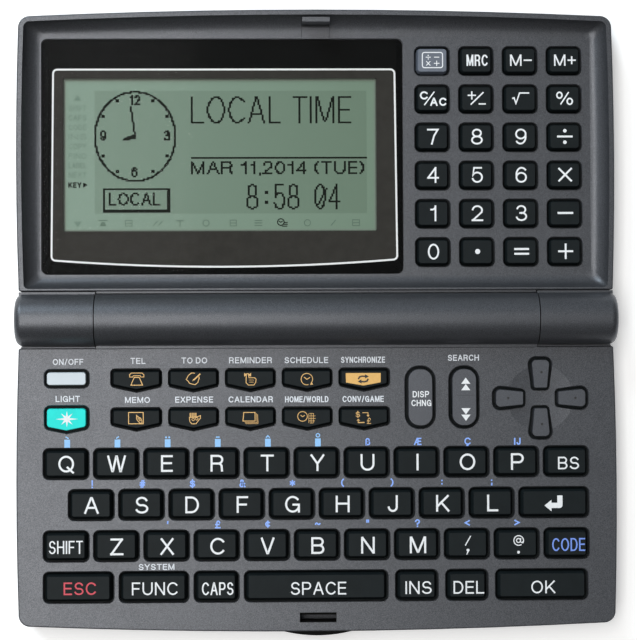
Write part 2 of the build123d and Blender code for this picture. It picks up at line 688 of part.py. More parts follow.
def base_board():
    """The main circuit board, cut out for the data jack."""
    board = box(-BOARD_HALF_WIDTH, BOARD_HALF_WIDTH, -BOARD_FAR, -BOARD_NEAR, BOARD_UNDER, BOARD_TOP)
    half = JACK_BODY[0] / 2 + JACK_GAP * 2
    jack_start = jack_mouth() - JACK_BORE_DEPTH - JACK_WALL - JACK_GAP * 2
    notch = box(jack_start, BOARD_HALF_WIDTH + 1, JACK_Y - half, JACK_Y + half, BOARD_UNDER - 1, BOARD_TOP + 1)
    return board - notch


def jack_mouth():
    """The X of the jack's mouth."""
    return side_at(JACK_Y, BASE_NEAR) - JACK_RECESS


def data_jack():
    """The jack socket: a block behind the wall and a nose in it, with a blind bore."""
    mouth = jack_mouth()
    inner_wall = side_at(JACK_Y, BASE_NEAR) - CASE_WALL
    back = mouth - JACK_BORE_DEPTH - JACK_WALL
    half = JACK_BODY[0] / 2
    body = box(back, inner_wall - JACK_GAP, JACK_Y - half, JACK_Y + half, BASE_FLOOR, BASE_FLOOR + JACK_BODY[1])
    nose = rod_x(inner_wall - 1, mouth, JACK_NOSE_RADIUS, JACK_Y, JACK_HEIGHT)
    bore = rod_x(mouth - JACK_BORE_DEPTH, mouth + 1, JACK_BORE_RADIUS, JACK_Y, JACK_HEIGHT)
    return body + nose - bore


def end_barrel(side):
    """One of the two end barrels, which belong to the lid; side is -1 for the left and +1 for the right."""
    barrel = rod_x(side * END_BARREL_START, side * BARREL_HALF_LENGTH, BARREL_RADIUS)
    outer_edges = barrel.edges().sort_by(Axis.X)
    barrel = fillet([outer_edges[0] if side < 0 else outer_edges[-1]], BARREL_END_ROUND)
    x0 = END_BARREL_START
    x1 = side_at(LID_NEAR, LID_NEAR)
    web = box(side * x0, side * x1, 0, LID_NEAR - WEB_GAP, WEB_BOTTOM, LID_TOP - LEDGE_DROP)
    joint = box(side * x0, side * x1, 0, LID_NEAR + CASE_WALL / 2, WEB_BOTTOM, LID_SEAM)
    hollow = rod_x(side * (x0 + PARTITION), side * (BARREL_HALF_LENGTH - BARREL_END_SKIN), BARREL_BORE)
    seat = PIN_RADIUS if side < 0 else BUSH_RADIUS
    return barrel + [web, joint] - [hollow, rod_x(side * (x0 - 1), side * (x0 + PARTITION + 1), seat)]


def cable_lid_slot():
    """The slot through which the cable leaves the end barrel."""
    _, (x0, x1) = cable_places()
    low = LID_SEAM + CABLE_SLOT_MARGIN
    margin = CABLE_SLOT_MARGIN
    return box(x0 - margin, x1 + margin, -CABLE_THICKNESS * 2, LID_NEAR + CASE_WALL + 1.0, LID_SEAM,
               low + CABLE_THICKNESS + margin)


def lid_shell():
    """The outer tray of the lid with both end barrels."""
    outer = slab(case_outline(LID, LID_NEAR), LID_LIFT, LID_SEAM)
    outer = fillet(outer.edges().group_by(Axis.Z)[0], BACK_EDGE_RADIUS)
    cavity = slab(case_outline(LID, LID_NEAR, CASE_WALL), LID_FLOOR, LID_SEAM + 1)
    body = outer - cavity
    adds = [end_barrel(-1), end_barrel(1)]
    cuts = [cable_lid_slot()]
    for x, y in LID_SCREW_PLACES:
        adds.append(rod_z(x, y, LID_FLOOR - 0.5, LID_SEAM, BOSS_RADIUS))
        cuts += screw_hole(x, y, LID_LIFT, LID_SEAM + 1)
    for x, y in LID_POSTS:
        adds.append(rod_z(x, y, LID_FLOOR - 0.3, LID_BOARD_UNDER, POST_RADIUS))
    return body + adds - cuts


def cove_section(share):
    """The outline of the lid's recess at a share of the way from its field, 0, to its rim, 1."""
    rise = cove_height(share)
    rim = case_outline(LID, LID_NEAR, RIM_WIDTH).face().bounding_box()
    keep = 1 - share
    middle_half = rim.max.X * share + FIELD_HALF_WIDTH * keep
    end_half = (rim.max.X - SIDE_BOW) * share + FIELD_HALF_WIDTH * keep
    near = (LID_NEAR + NEAR_RIM_WIDTH) * share + FIELD_NEAR * keep
    far = rim.max.Y * share + FIELD_FAR * keep
    corner = (rim.max.Y - END_BOW) * share + FIELD_FAR * keep
    far_radius = RIM_CORNER * share + FIELD_CORNER * keep
    near_radius = NEAR_RIM_CORNER * share + FIELD_CORNER * keep
    bulge = 0.02
    middle = (near + corner) / 2
    with BuildSketch() as sketch:
        with BuildLine():
            Line((-end_half, near), (end_half, near))
            ThreePointArc((end_half, near), (middle_half + bulge, middle), (end_half, corner))
            ThreePointArc((end_half, corner), (0, far + bulge), (-end_half, corner))
            ThreePointArc((-end_half, corner), (-middle_half - bulge, middle), (-end_half, near))
        make_face()
        by_reach = sketch.vertices().sort_by(Axis.Y)
        fillet(by_reach[-2:], far_radius)
        fillet(sketch.vertices().sort_by(Axis.Y)[:2], near_radius)
    return (Pos(0, 0, FIELD_TOP + rise) * sketch.sketch).face()


def cove_height(share):
    """How far the cove has risen from the field at a share of its width."""
    width = FIELD_DEPTH * 1.5
    radius = (width ** 2 + FIELD_DEPTH ** 2) / (2 * FIELD_DEPTH)
    return radius - sqrt(radius ** 2 - (width * share) ** 2)


def lid_frame_blank():
    """The lid's inner frame with its rim, cove and field, before its openings are cut."""
    outer = slab(case_outline(LID, LID_NEAR), LID_SEAM, LID_TOP)
    outer = fillet(outer.edges().group_by(Axis.Z)[-1], TOP_EDGE_RADIUS)
    cavity = slab(case_outline(LID, LID_NEAR, CASE_WALL), LID_SEAM - 1, FIELD_UNDER)
    shares = [i / (COVE_STEPS - 1) for i in range(COVE_STEPS)]
    recess = loft([cove_section(share) for share in shares])
    above = slab(Pos(0, 0, -LID_TOP) * cove_section(1.0), LID_TOP, LID_TOP + 5)
    return outer - cavity - (recess + above)


def lid_frame(blank):
    """The lid's inner frame with its key wells, display opening and catch pocket."""
    cuts = []
    for keys in calculator_keys().values():
        for key in keys:
            cuts += key.well(FIELD_UNDER, FIELD_TOP)
    seat = rounded(WINDOW_SIZE[0] + 2 * WINDOW_GAP, WINDOW_SIZE[1] + 2 * WINDOW_GAP, WINDOW_CORNER, *WINDOW_CENTRE)
    cuts.append(slab(seat, MASK_UNDER, LID_TOP + 1))
    width, height = lcd_size()
    opening = rounded(width + 2 * LCD_GAP, height + 2 * LCD_GAP, 0.5, *LCD_CENTRE)
    cuts.append(slab(opening, LID_SEAM - 1, LID_TOP))
    half = HOOK_HALF_WIDTH + HOOK_GAP
    far = HOOK_STEM[1] + HOOK_HOLLOW
    cuts.append(box(-half, half, HOOK_FOOT_NEAR - HOOK_GAP, far, hook_floor(), LID_TOP + 1))
    cuts.append(cable_lid_slot())
    for x, y in LID_SCREW_PLACES:
        cuts.append(rod_z(x, y, LID_SEAM - 1, LID_LIFT + HEAD_POCKET + LID_SCREW_LENGTH + 0.2, SCREW_RADIUS))
    wedge = trough(LID, -CENTRE_BARREL_HALF, CENTRE_BARREL_HALF, LID_NEAR, LID_SEAM, LID_TOP)
    return blank + wedge - cuts


def hook_floor():
    """The floor of the pocket that holds the hook's foot."""
    return FIELD_UNDER + FIELD_SKIN / 3


def lid_hook(blank):
    """The catch hook: a foot flush with the cove, a stem and a nose that points at the hinge."""
    foot = blank & box(-HOOK_HALF_WIDTH, HOOK_HALF_WIDTH, HOOK_FOOT_NEAR, HOOK_STEM[1], hook_floor(), LID_TOP + 1)
    top = LID_TOP + HOOK_HEIGHT
    stem = box(-HOOK_HALF_WIDTH, HOOK_HALF_WIDTH, *HOOK_STEM, hook_floor(), top)
    bevel = HOOK_NOSE_HEIGHT * 0.5
    side = Polyline((HOOK_STEM[0], top), (HOOK_STEM[0], top - HOOK_NOSE_HEIGHT), (HOOK_NOSE, top - HOOK_NOSE_HEIGHT),
                    (HOOK_NOSE, top - bevel), (HOOK_STEM[0], top), close=True)
    profile = Plane.YZ * make_face(side)
    nose = extrude(profile, amount=HOOK_HALF_WIDTH, both=True)
    slit = box(-HOOK_HALF_WIDTH - 1, HOOK_HALF_WIDTH + 1, HOOK_STEM[0] - HOOK_SLIT, HOOK_STEM[0], hook_floor() + 0.6,
               top - HOOK_NOSE_HEIGHT)
    return foot + stem + nose - slit


def lcd_size():
    """The size of the lower glass of the display."""
    return LCD_APERTURE[0] + 2 * LCD_MARGIN, LCD_APERTURE[1] + 2 * LCD_MARGIN


def plate_at(centre, width, height, z0, z1, radius=0.5):
    """A flat plate round a centre."""
    return slab(rounded(width, height, radius, *centre), z0, z1)


def lcd_top():
    """The top of the upper glass."""
    return MASK_UNDER - LCD_DROP


def display_window():
    """The clear window with a softened upper edge."""
    window = plate_at(WINDOW_CENTRE, *WINDOW_SIZE, WINDOW_UNDER, WINDOW_TOP, WINDOW_CORNER)
    return fillet(window.edges().group_by(Axis.Z)[-1], WINDOW_EDGE)


def display_mask():
    """The printed film behind the window with the display aperture."""
    film = plate_at(WINDOW_CENTRE, *WINDOW_SIZE, MASK_UNDER, WINDOW_UNDER, WINDOW_CORNER)
    aperture = plate_at(LCD_CENTRE, *LCD_APERTURE, MASK_UNDER - 1, WINDOW_UNDER + 1, 0.4)
    return film - aperture


def lcd_panel():
    """The two glasses of the display, the lower one with contact ledges."""
    top = lcd_top()
    width, height = lcd_size()
    upper = plate_at(LCD_CENTRE, width, height - 2 * LCD_LEDGE, top - GLASS_THICKNESS, top)
    lower = plate_at(LCD_CENTRE, width, height, top - 2 * GLASS_THICKNESS, top - GLASS_THICKNESS)
    return [upper, lower]


def backlight_panel():
    """The light panel under the display."""
    top = lcd_top() - 2 * GLASS_THICKNESS - STACK_GAP
    return plate_at(LCD_CENTRE, *LCD_APERTURE, top - BACKLIGHT_THICKNESS, top)


def display_holder():
    """The frame that carries the display on the lid board, with a bed for the light panel and strip slots."""
    width, height = lcd_size()
    lcd_under = lcd_top() - 2 * GLASS_THICKNESS
    gap = HOLDER_CLEARANCE
    block = plate_at(LCD_CENTRE, width + 2 * HOLDER_WALL, height + 2 * HOLDER_WALL, LID_BOARD_TOP, FIELD_UNDER - gap, 1.0)
    seat = plate_at(LCD_CENTRE, width + 2 * gap, height + 2 * gap, lcd_under, FIELD_UNDER + 1)
    bed_under = lcd_under - BACKLIGHT_THICKNESS - 2 * STACK_GAP
    bed = plate_at(LCD_CENTRE, LCD_APERTURE[0] + 2 * gap, LCD_APERTURE[1] + 2 * gap, bed_under, lcd_under + 1)
    slots = [box(x0 - gap, x1 + gap, y0, y1, z0 - 1, z1 + 1) for x0, x1, y0, y1, z0, z1 in zebra_places()]
    return block - [seat, bed] - slots


def zebra_places():
    """The two strips that join the display to the lid board."""
    lcd_under = lcd_top() - 2 * GLASS_THICKNESS
    reach = lcd_size()[1] / 2 - LCD_LEDGE / 2
    places = []
    for side in (-1, 1):
        y = LCD_CENTRE[1] + side * reach
        places.append((LCD_CENTRE[0] - ZEBRA_LENGTH / 2, LCD_CENTRE[0] + ZEBRA_LENGTH / 2, y - ZEBRA_WIDTH / 2,
                       y + ZEBRA_WIDTH / 2, LID_BOARD_TOP, lcd_under))
    return places


def zebra_strips():
    """The rubber contact strips."""
    return [box(*place) for place in zebra_places()]


def latch_button():
    """The front button: a bulging pad, a flange behind the wall, arms, a bar and the ledge that holds the hook."""
    wall = CASE_REACH - CASE_WALL
    half = BUTTON_HALF_WIDTH
    edge = -CASE_REACH + 0.1
    flange_front = -wall + BUTTON_GAP / 2
    flange_back = flange_front + BUTTON_FLANGE[1]
    outline = [Line((-half, flange_back), (half, flange_back)), Line((half, flange_back), (half, edge)),
               ThreePointArc((half, edge), (0, -CASE_REACH - BUTTON_BULGE), (-half, edge)),
               Line((-half, edge), (-half, flange_back))]
    hook_tip = 2 * AXIS_HEIGHT - LID_TOP - HOOK_HEIGHT
    flange_top = hook_tip - BUTTON_GAP
    hook_room = box(-half, half, -wall - HOOK_GAP, flange_back, flange_top, BUTTON_TOP)
    pad = slab(make_face(outline), BUTTON_BOTTOM, BUTTON_TOP) - hook_room
    flange_half = half + BUTTON_FLANGE[0]
    flange = box(-flange_half, flange_half, flange_front, flange_back, BUTTON_BOTTOM, flange_top)
    arm_inner = flange_half - BUTTON_ARM[0]
    arm_top = BUTTON_BOTTOM + BUTTON_ARM[1]
    arms = [box(side * arm_inner, side * flange_half, flange_back, -BUTTON_BAR[1], BUTTON_BOTTOM, arm_top)
            for side in (-1, 1)]
    bar = box(-flange_half, flange_half, -BUTTON_BAR[0], -BUTTON_BAR[1], BUTTON_BOTTOM, arm_top)
    post = box(-CATCH_HALF_WIDTH, CATCH_HALF_WIDTH, -CATCH_POST, -CATCH_LEDGE[1], BUTTON_BOTTOM, arm_top)
    spine = box(-CATCH_HALF_WIDTH, CATCH_HALF_WIDTH, -CATCH_POST, -BUTTON_BAR[1], BUTTON_BOTTOM, arm_top)
    ledge_top = PLATE_UNDER - CATCH_ROOF_GAP
    upright = box(-CATCH_HALF_WIDTH, CATCH_HALF_WIDTH, -CATCH_POST, -CATCH_LEDGE[1], BUTTON_BOTTOM, ledge_top)
    ledge = box(-CATCH_HALF_WIDTH, CATCH_HALF_WIDTH, -CATCH_LEDGE[0], -CATCH_LEDGE[1],
                ledge_top - CATCH_LEDGE_THICKNESS, ledge_top)
    return pad + [flange, bar, post, spine, upright, ledge] + arms


def latch_spring():
    """The coil spring between the button's bar and a rib of the lower case."""
    length = SPRING_LENGTH - 2 * SPRING_WIRE
    pitch = length / SPRING_TURNS
    helix = Helix(pitch=pitch, height=length, radius=SPRING_RADIUS)
    start = Plane(origin=helix @ 0, z_dir=helix % 0)
    coil = sweep(start * Circle(SPRING_WIRE), path=helix)
    z = BUTTON_BOTTOM + BUTTON_ARM[1] / 2
    return Pos(0, -BUTTON_BAR[1] + SPRING_WIRE, z) * Rot(-90, 0, 0) * coil


def reset_button():
    """The small button in the floor with its retaining flange."""
    x, y = RESET_PLACE
    stem = rod_z(x, y, FOOT_DROP + RESET_RECESS, RESET_TOP, RESET_RADIUS)
    low = BASE_FLOOR + RESET_GAP / 2
    return stem + rod_z(x, y, low, low + RESET_FLANGE[1], RESET_FLANGE[0])


def hinge_pins():
    """The steel pin of the left hinge and the hollow bush of the right one."""
    pin_start = -END_BARREL_START - PARTITION - 1.8
    pin = chamfer(rod_x(pin_start, pin_start + PIN_LENGTH, PIN_RADIUS).edges(), 0.25)
    bush_end = END_BARREL_START + PARTITION + 0.8
    bush = rod_x(bush_end - BUSH_LENGTH, bush_end, BUSH_RADIUS)
    bore = rod_x(bush_end - BUSH_LENGTH - 1, bush_end + 1, BUSH_RADIUS - BUSH_WALL)
    return [pin, bush - bore]


def hinge_clip():
    """The slit friction sleeve that grips the pin."""
    start = -CENTRE_BARREL_HALF + BEARING_LENGTH + 0.05
    end = start + CLIP_LENGTH - 0.1
    inner = PIN_RADIUS + CLIP_GAP
    sleeve = rod_x(start, end, inner + CLIP_THICKNESS) - rod_x(start - 1, end + 1, inner)
    slit = box(start - 1, end + 1, -CLIP_SLIT / 2, CLIP_SLIT / 2, AXIS_HEIGHT, AXIS_HEIGHT + BARREL_RADIUS)
    return sleeve - slit


def hinge_flex_cable():
    """The flat cable: a roll through the bush, a tongue to the main board and one to the lid board."""
    radius, low = cable_levels()
    thick = CABLE_THICKNESS
    (base_x0, base_x1), (lid_x0, lid_x1) = cable_places()
    roll = rod_x(base_x0, lid_x1, radius) - rod_x(base_x0 - 1, lid_x1 + 1, radius - thick)
    roll = roll - box(base_x0 - 1, lid_x1 + 1, 0, radius + 1, AXIS_HEIGHT, AXIS_HEIGHT + radius * 0.6)
    board_edge = -BOARD_NEAR - 0.5
    base_tongue = [box(base_x0, base_x1, board_edge - thick, 0, low, low + thick),
                   box(base_x0, base_x1, board_edge - thick, board_edge, BOARD_TOP, low + thick),
                   box(base_x0, base_x1, board_edge - CABLE_FOOT, board_edge, BOARD_TOP, BOARD_TOP + thick)]
    level = LID_SEAM + CABLE_SLOT_MARGIN
    lid_edge = BOARD_NEAR + 0.5
    lid_tongue = [box(lid_x0, lid_x1, -thick / 2, thick / 2, level, low + thick),
                  box(lid_x0, lid_x1, -thick / 2, lid_edge, level, level + thick),
                  box(lid_x0, lid_x1, lid_edge - thick, lid_edge, LID_BOARD_TOP, level + thick),
                  box(lid_x0, lid_x1, lid_edge - thick, lid_edge + CABLE_FOOT, LID_BOARD_TOP, LID_BOARD_TOP + thick)]
    return roll + base_tongue + lid_tongue


def cells(places):
    """Coin cells with a stepped rim, standing on the cell cover."""
    low = FOOT_DROP + CELL_COVER
    rim = CELL_HEIGHT * 0.2
    solids = []
    for x in places:
        body = rod_z(x, CELL_Y, low, low + CELL_HEIGHT - rim, CELL_RADIUS)
        solids.append(body + rod_z(x, CELL_Y, low, low + CELL_HEIGHT, CELL_RADIUS - 1.0))
    return solids


def battery_contacts():
    """The contact tabs between the main board and the cells."""
    low = FOOT_DROP + CELL_COVER + CELL_HEIGHT
    width, depth = CONTACT_SIZE
    return [box(x - width / 2, x + width / 2, CELL_Y - depth / 2, CELL_Y + depth / 2, low, BOARD_UNDER)
            for x in (-CELL_PITCH, 0.0, CELL_PITCH)]


def battery_cover():
    """The screwed cover of the cell compartment."""
    plate = slab(cell_cover_outline(), FOOT_DROP, FOOT_DROP + CELL_COVER)
    x, y = cell_tab_place()
    head = rod_z(x, y, 0, FOOT_DROP + CELL_COVER * 0.6, SCREW_HEAD_RADIUS + SCREW_CLEARANCE)
    hole = rod_z(x, y, 0, FOOT_DROP + CELL_COVER + 1, SCREW_RADIUS + SCREW_CLEARANCE)
    return plate - [head, hole]


def case_screws():
    """The screws of the base and the one of the cell cover."""
    gap = HEAD_POCKET - SCREW_HEAD_HEIGHT
    screws = [screw(x, y, FOOT_DROP + gap, SCREW_LENGTH) for x, y in CASE_SCREW_PLACES]
    x, y = cell_tab_place()
    head_height = CELL_COVER * 0.55
    head_bottom = FOOT_DROP + CELL_COVER * 0.6 - head_height
    screws.append(screw(x, y, head_bottom, CELL_SCREW_LENGTH, head_height))
    return screws


def lid_screws():
    """The screws of the lid."""
    gap = HEAD_POCKET - SCREW_HEAD_HEIGHT
    return [screw(x, y, LID_LIFT + gap, LID_SCREW_LENGTH) for x, y in LID_SCREW_PLACES]


def blocks_under(places, size, top):
    """Flat parts fixed to the underside of a board."""
    width, depth, height = size
    return [box(x - width / 2, x + width / 2, y - depth / 2, y + depth / 2, top - height, top) for x, y in places]


def base_nodes():
    """Every fixed piece of the base by node name."""
    keys = [key for group in base_keys().values() for key in group]
    mat_half = BOARD_HALF_WIDTH - 0.2
    mat_far = -row_y(3) + KEY_WELL[1] / 2 + 0.3
    mat_near = -FUNCTION_FIRST[1] - 0.6
    mat = rounded(2 * mat_half, mat_far - mat_near, MAT_MARGIN, 0.0, -(mat_far + mat_near) / 2)
    crystal_x, crystal_y = CRYSTAL_PLACE
    return {
        "lower_case": lower_case(),
        "keyboard_cover": keyboard_cover(),
        "battery_cover": battery_cover(),
        "rubber_feet": [rod_z(x, y, 0, FOOT_DROP + FOOT_SEAT, FOOT_RADIUS) for x, y in FOOT_PLACES],
        "case_screws": case_screws(),
        "main_board": base_board(),
        "key_mat": rubber_mat(mat, keys, MAT_TOP, DOME_HEIGHT),
        "processor": blocks_under((PROCESSOR_PLACE,), PROCESSOR_SIZE, BOARD_UNDER),
        "memory_chips": blocks_under(MEMORY_PLACES, MEMORY_SIZE, BOARD_UNDER),
        "quartz_crystal": rod_x(crystal_x - CRYSTAL_LENGTH / 2, crystal_x + CRYSTAL_LENGTH / 2, CRYSTAL_RADIUS,
                                crystal_y, BOARD_UNDER - CRYSTAL_RADIUS),
        "piezo_buzzer": rod_z(*BUZZER_PLACE, BASE_FLOOR, BASE_FLOOR + BUZZER_THICKNESS, BUZZER_RADIUS),
        "main_cells": cells((-CELL_PITCH, 0.0)),
        "backup_cell": cells((CELL_PITCH,)),
        "battery_contacts": battery_contacts(),
        "data_jack": data_jack(),
        "latch_button": latch_button(),
        "latch_spring": latch_spring(),
        "reset_button": reset_button(),
        "hinge_clip": hinge_clip(),
        "hinge_flex_cable": hinge_flex_cable(),
    }


def lid_nodes():
    """Every fixed piece of the lid by node name."""
    keys = [key for group in calculator_keys().values() for key in group]
    blank = lid_frame_blank()
    left = CALCULATOR_FIRST[0] - CALCULATOR_WELL[0] / 2 - MAT_MARGIN
    right = keys[-1].x + CALCULATOR_WELL[0] / 2 + MAT_MARGIN
    far = CALCULATOR_FIRST[1] + CALCULATOR_WELL[1] / 2 + MAT_MARGIN
    near = keys[-1].y - CALCULATOR_WELL[1] / 2 - MAT_MARGIN
    mat = rounded(right - left, far - near, MAT_MARGIN, (left + right) / 2, (near + far) / 2)
    return {
        "lid_shell": lid_shell(),
        "lid_frame": lid_frame(blank),
        "display_window": display_window(),
        "display_mask": display_mask(),
        "lcd_panel": lcd_panel(),
        "backlight_panel": backlight_panel(),
        "display_holder": display_holder(),
        "zebra_strips": zebra_strips(),
        "lid_board": box(-BOARD_HALF_WIDTH, BOARD_HALF_WIDTH, BOARD_NEAR, BOARD_FAR, LID_BOARD_UNDER, LID_BOARD_TOP),
        "driver_chips": blocks_under(DRIVER_PLACES, DRIVER_SIZE, LID_BOARD_UNDER),
        "calculator_key_mat": rubber_mat(mat, keys, LID_MAT_TOP, LID_DOME_HEIGHT),
        "lid_hook": lid_hook(blank),
        "lid_screws": lid_screws(),
        "hinge_pins": hinge_pins(),
    }


def main():
    """Build every node and write each to its own file."""
    os.makedirs("parts", exist_ok=True)
    nodes = base_nodes()
    nodes.update(lid_nodes())
    for name, keys in base_keys().items():
        nodes[name] = key_node(keys, PLATE_UNDER, BASE_TOP)
    for name, keys in calculator_keys().items():
        nodes[name] = key_node(keys, FIELD_UNDER, FIELD_TOP)
    for name, shape in nodes.items():
        solids = shape if isinstance(shape, list) else [shape]
        solids = [solid for item in solids for solid in item.solids()]
        whole = solids[0] if len(solids) == 1 else Compound(children=solids)
        export_step(whole, f"parts/{name}.step")


main()
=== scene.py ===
"""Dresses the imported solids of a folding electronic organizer: finishes, printed marks, display and studio."""

import logging
import math
from dataclasses import dataclass, field
from typing import Callable, Sequence

import bmesh
import bpy
from mathutils import Matrix, Vector

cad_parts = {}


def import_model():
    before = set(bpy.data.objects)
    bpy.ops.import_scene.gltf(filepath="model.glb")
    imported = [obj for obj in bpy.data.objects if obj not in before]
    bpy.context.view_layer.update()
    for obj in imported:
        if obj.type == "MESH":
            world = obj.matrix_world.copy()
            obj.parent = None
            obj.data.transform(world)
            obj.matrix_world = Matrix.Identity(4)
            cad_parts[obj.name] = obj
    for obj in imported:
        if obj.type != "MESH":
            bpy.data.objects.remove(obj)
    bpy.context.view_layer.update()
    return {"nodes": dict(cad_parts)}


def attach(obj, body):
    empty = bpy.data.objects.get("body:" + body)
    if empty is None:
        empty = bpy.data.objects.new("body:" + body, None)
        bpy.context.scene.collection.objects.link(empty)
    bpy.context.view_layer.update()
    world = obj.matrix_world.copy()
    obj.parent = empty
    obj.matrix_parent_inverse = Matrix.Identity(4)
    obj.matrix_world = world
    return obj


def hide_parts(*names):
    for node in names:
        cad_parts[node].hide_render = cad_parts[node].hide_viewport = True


log = logging.getLogger("organizer")

MM = 0.001
Point = tuple[float, float]
Colour = tuple[float, float, float]
Stroke = tuple[Sequence[Point], bool]
Corners = Sequence[bmesh.types.BMVert]

BASE_TOP = 10.15
KEY_TOP = 11.15
CALCULATOR_KEY_TOP = 8.15
WINDOW_UNDER = 6.35
DISPLAY_TOP = 5.75
PRINT_LIFT = 0.012
PRINT_THICKNESS = 0.015
PRINT_LAYER = 0.003
SECOND_PRINT = 4 * PRINT_THICKNESS
WHITE = (1.0, 1.0, 1.0, 1.0)
MIX_FIRST = 6
MIX_SECOND = 7
MIX_RESULT = 2


def linear(value: float) -> float:
    """Returns a display value, 0 to 255, as scene-linear light."""
    share = value / 255.0
    return share / 12.92 if share <= 0.04045 else ((share + 0.055) / 1.055) ** 2.4


def shade(red: float, green: float, blue: float) -> Colour:
    """Returns a linear colour for display values, 0 to 255."""
    return linear(red), linear(green), linear(blue)


def scaled(colour: Colour, share: float) -> Colour:
    """Returns a lighter or darker colour."""
    return tuple(min(1.0, value * share) for value in colour)


class Nodes:
    """Adds and links the shader nodes of one material."""

    def __init__(self, name: str) -> None:
        """Starts a material that has only its surface."""
        self.material = bpy.data.materials.new(name)
        self.material.use_nodes = True
        self.tree = self.material.node_tree
        self.tree.nodes.clear()
        self.surface = self.add("BsdfPrincipled")
        self.place = self.add("TexCoord")
        self.link(self.surface, "BSDF", self.add("OutputMaterial"), "Surface")

    def add(self, kind: str, inputs: dict[str | int, object] | None = None, **values: object) -> bpy.types.Node:
        """Adds a node.

        Args:
            kind: The end of the node's type name.
            inputs: Values for its sockets, by name or number.
            **values: Properties to set on it.

        Returns:
            The new node.
        """
        node = self.tree.nodes.new("ShaderNode" + kind)
        for name, value in values.items():
            setattr(node, name, value)
        for socket, value in (inputs or {}).items():
            node.inputs[socket].default_value = value
        return node

    def link(self, source: bpy.types.Node, out: str | int, target: bpy.types.Node, into: str | int) -> None:
        """Links an output of one node to an input of another, each by name or number."""
        self.tree.links.new(source.outputs[out], target.inputs[into])

    def noise(self, size_mm: float, detail: float = 2.0, roughness: float = 0.5) -> bpy.types.Node:
        """Adds noise in the row's frame.

        Args:
            size_mm: The size of a grain in millimetres.
            detail: How many finer octaves it has.
            roughness: How strong the finer octaves are.

        Returns:
            The noise node.
        """
        node = self.add("TexNoise", {"Scale": 1.0 / (size_mm * MM), "Detail": detail, "Roughness": roughness})
        self.link(self.place, "Object", node, "Vector")
        return node

    def paint(self, noise: bpy.types.Node, *stops: tuple[float, Colour]) -> None:
        """Colours the surface by noise.

        Args:
            noise: The node that drives the colour.
            *stops: Values of the noise, each with its colour.
        """
        node = self.add("ValToRGB")
        elements = node.color_ramp.elements
        while len(elements) < len(stops):
            elements.new(0.5)
        for element, (where, colour) in zip(elements, stops):
            element.position = where
            element.color = (*colour, 1.0)
        self.link(noise, "Fac", node, "Fac")
        self.link(node, "Color", self.surface, "Base Color")

    def relief(self, noise: bpy.types.Node, depth_mm: float, strength: float) -> None:
        """Adds relief to the surface.

        Args:
            noise: The node that gives the height.
            depth_mm: The height's full range in millimetres.
            strength: How much of the relief is used.
        """
        node = self.add("Bump", {"Strength": strength, "Distance": depth_mm * MM})
        self.link(noise, "Fac", node, "Height")
        self.link(node, "Normal", self.surface, "Normal")

    def set(self, **values: object) -> None:
        """Sets sockets of the surface by their names with underscores for spaces."""
        for name, value in values.items():
            self.surface.inputs[name.replace("_", " ")].default_value = value


@dataclass(frozen=True)
class SpeckledPlastic:
    """Charcoal case plastic: fine metallic flecks in a matte moulded skin."""

    dark: Colour
    light: Colour
    grain_depth_mm: float = 0.012
    roughness: float = 0.38
    metallic: float = 0.58
    fleck_mm: float = 0.16
    grain_mm: float = 0.22
    wear_mm: float = 9.0

    def dress(self, nodes: Nodes) -> None:
        """Builds the finish in a material."""
        middle = tuple((a + b) / 2 for a, b in zip(self.dark, self.light))
        fleck = nodes.noise(self.fleck_mm, 3.0, 0.75)
        nodes.paint(fleck, (0.36, self.dark), (0.52, middle), (0.68, self.light))
        rough = nodes.add("MapRange", {"From Min": 0.3, "From Max": 0.7, "To Min": self.roughness - 0.015,
                                       "To Max": self.roughness + 0.02})
        nodes.link(nodes.noise(self.wear_mm, 3.0, 0.6), "Fac", rough, "Value")
        nodes.link(rough, "Result", nodes.surface, "Roughness")
        nodes.set(Metallic=self.metallic)
        nodes.relief(nodes.noise(self.grain_mm), self.grain_depth_mm, 0.6)


@dataclass(frozen=True)
class MouldedPlastic:
    """Plain moulded plastic or film with a fine skin and slight unevenness of tone."""

    colour: Colour
    roughness: float = 0.4
    specular: float = 0.5
    grain_mm: float = 0.3
    grain_depth_mm: float = 0.006
    spread: float = 0.08
    patch_mm: float = 3.0

    def dress(self, nodes: Nodes) -> None:
        """Builds the finish in a material."""
        low, high = (scaled(self.colour, 1 + side * self.spread) for side in (-1, 1))
        nodes.paint(nodes.noise(self.patch_mm, 3.0, 0.6), (0.35, low), (0.65, high))
        nodes.set(Roughness=self.roughness, Specular_IOR_Level=self.specular)
        nodes.relief(nodes.noise(self.grain_mm), self.grain_depth_mm, 0.5)


@dataclass(frozen=True)
class ClearWindow:
    """The clear hard window over the display."""

    tint: Colour = (0.02, 0.02, 0.022)
    haze_mm: float = 14.0

    def dress(self, nodes: Nodes) -> None:
        """Builds the finish in a material."""
        nodes.paint(nodes.noise(self.haze_mm), (0.3, self.tint), (0.7, scaled(self.tint, 1.3)))
        nodes.set(Roughness=0.06, Alpha=0.1, Specular_IOR_Level=0.1)


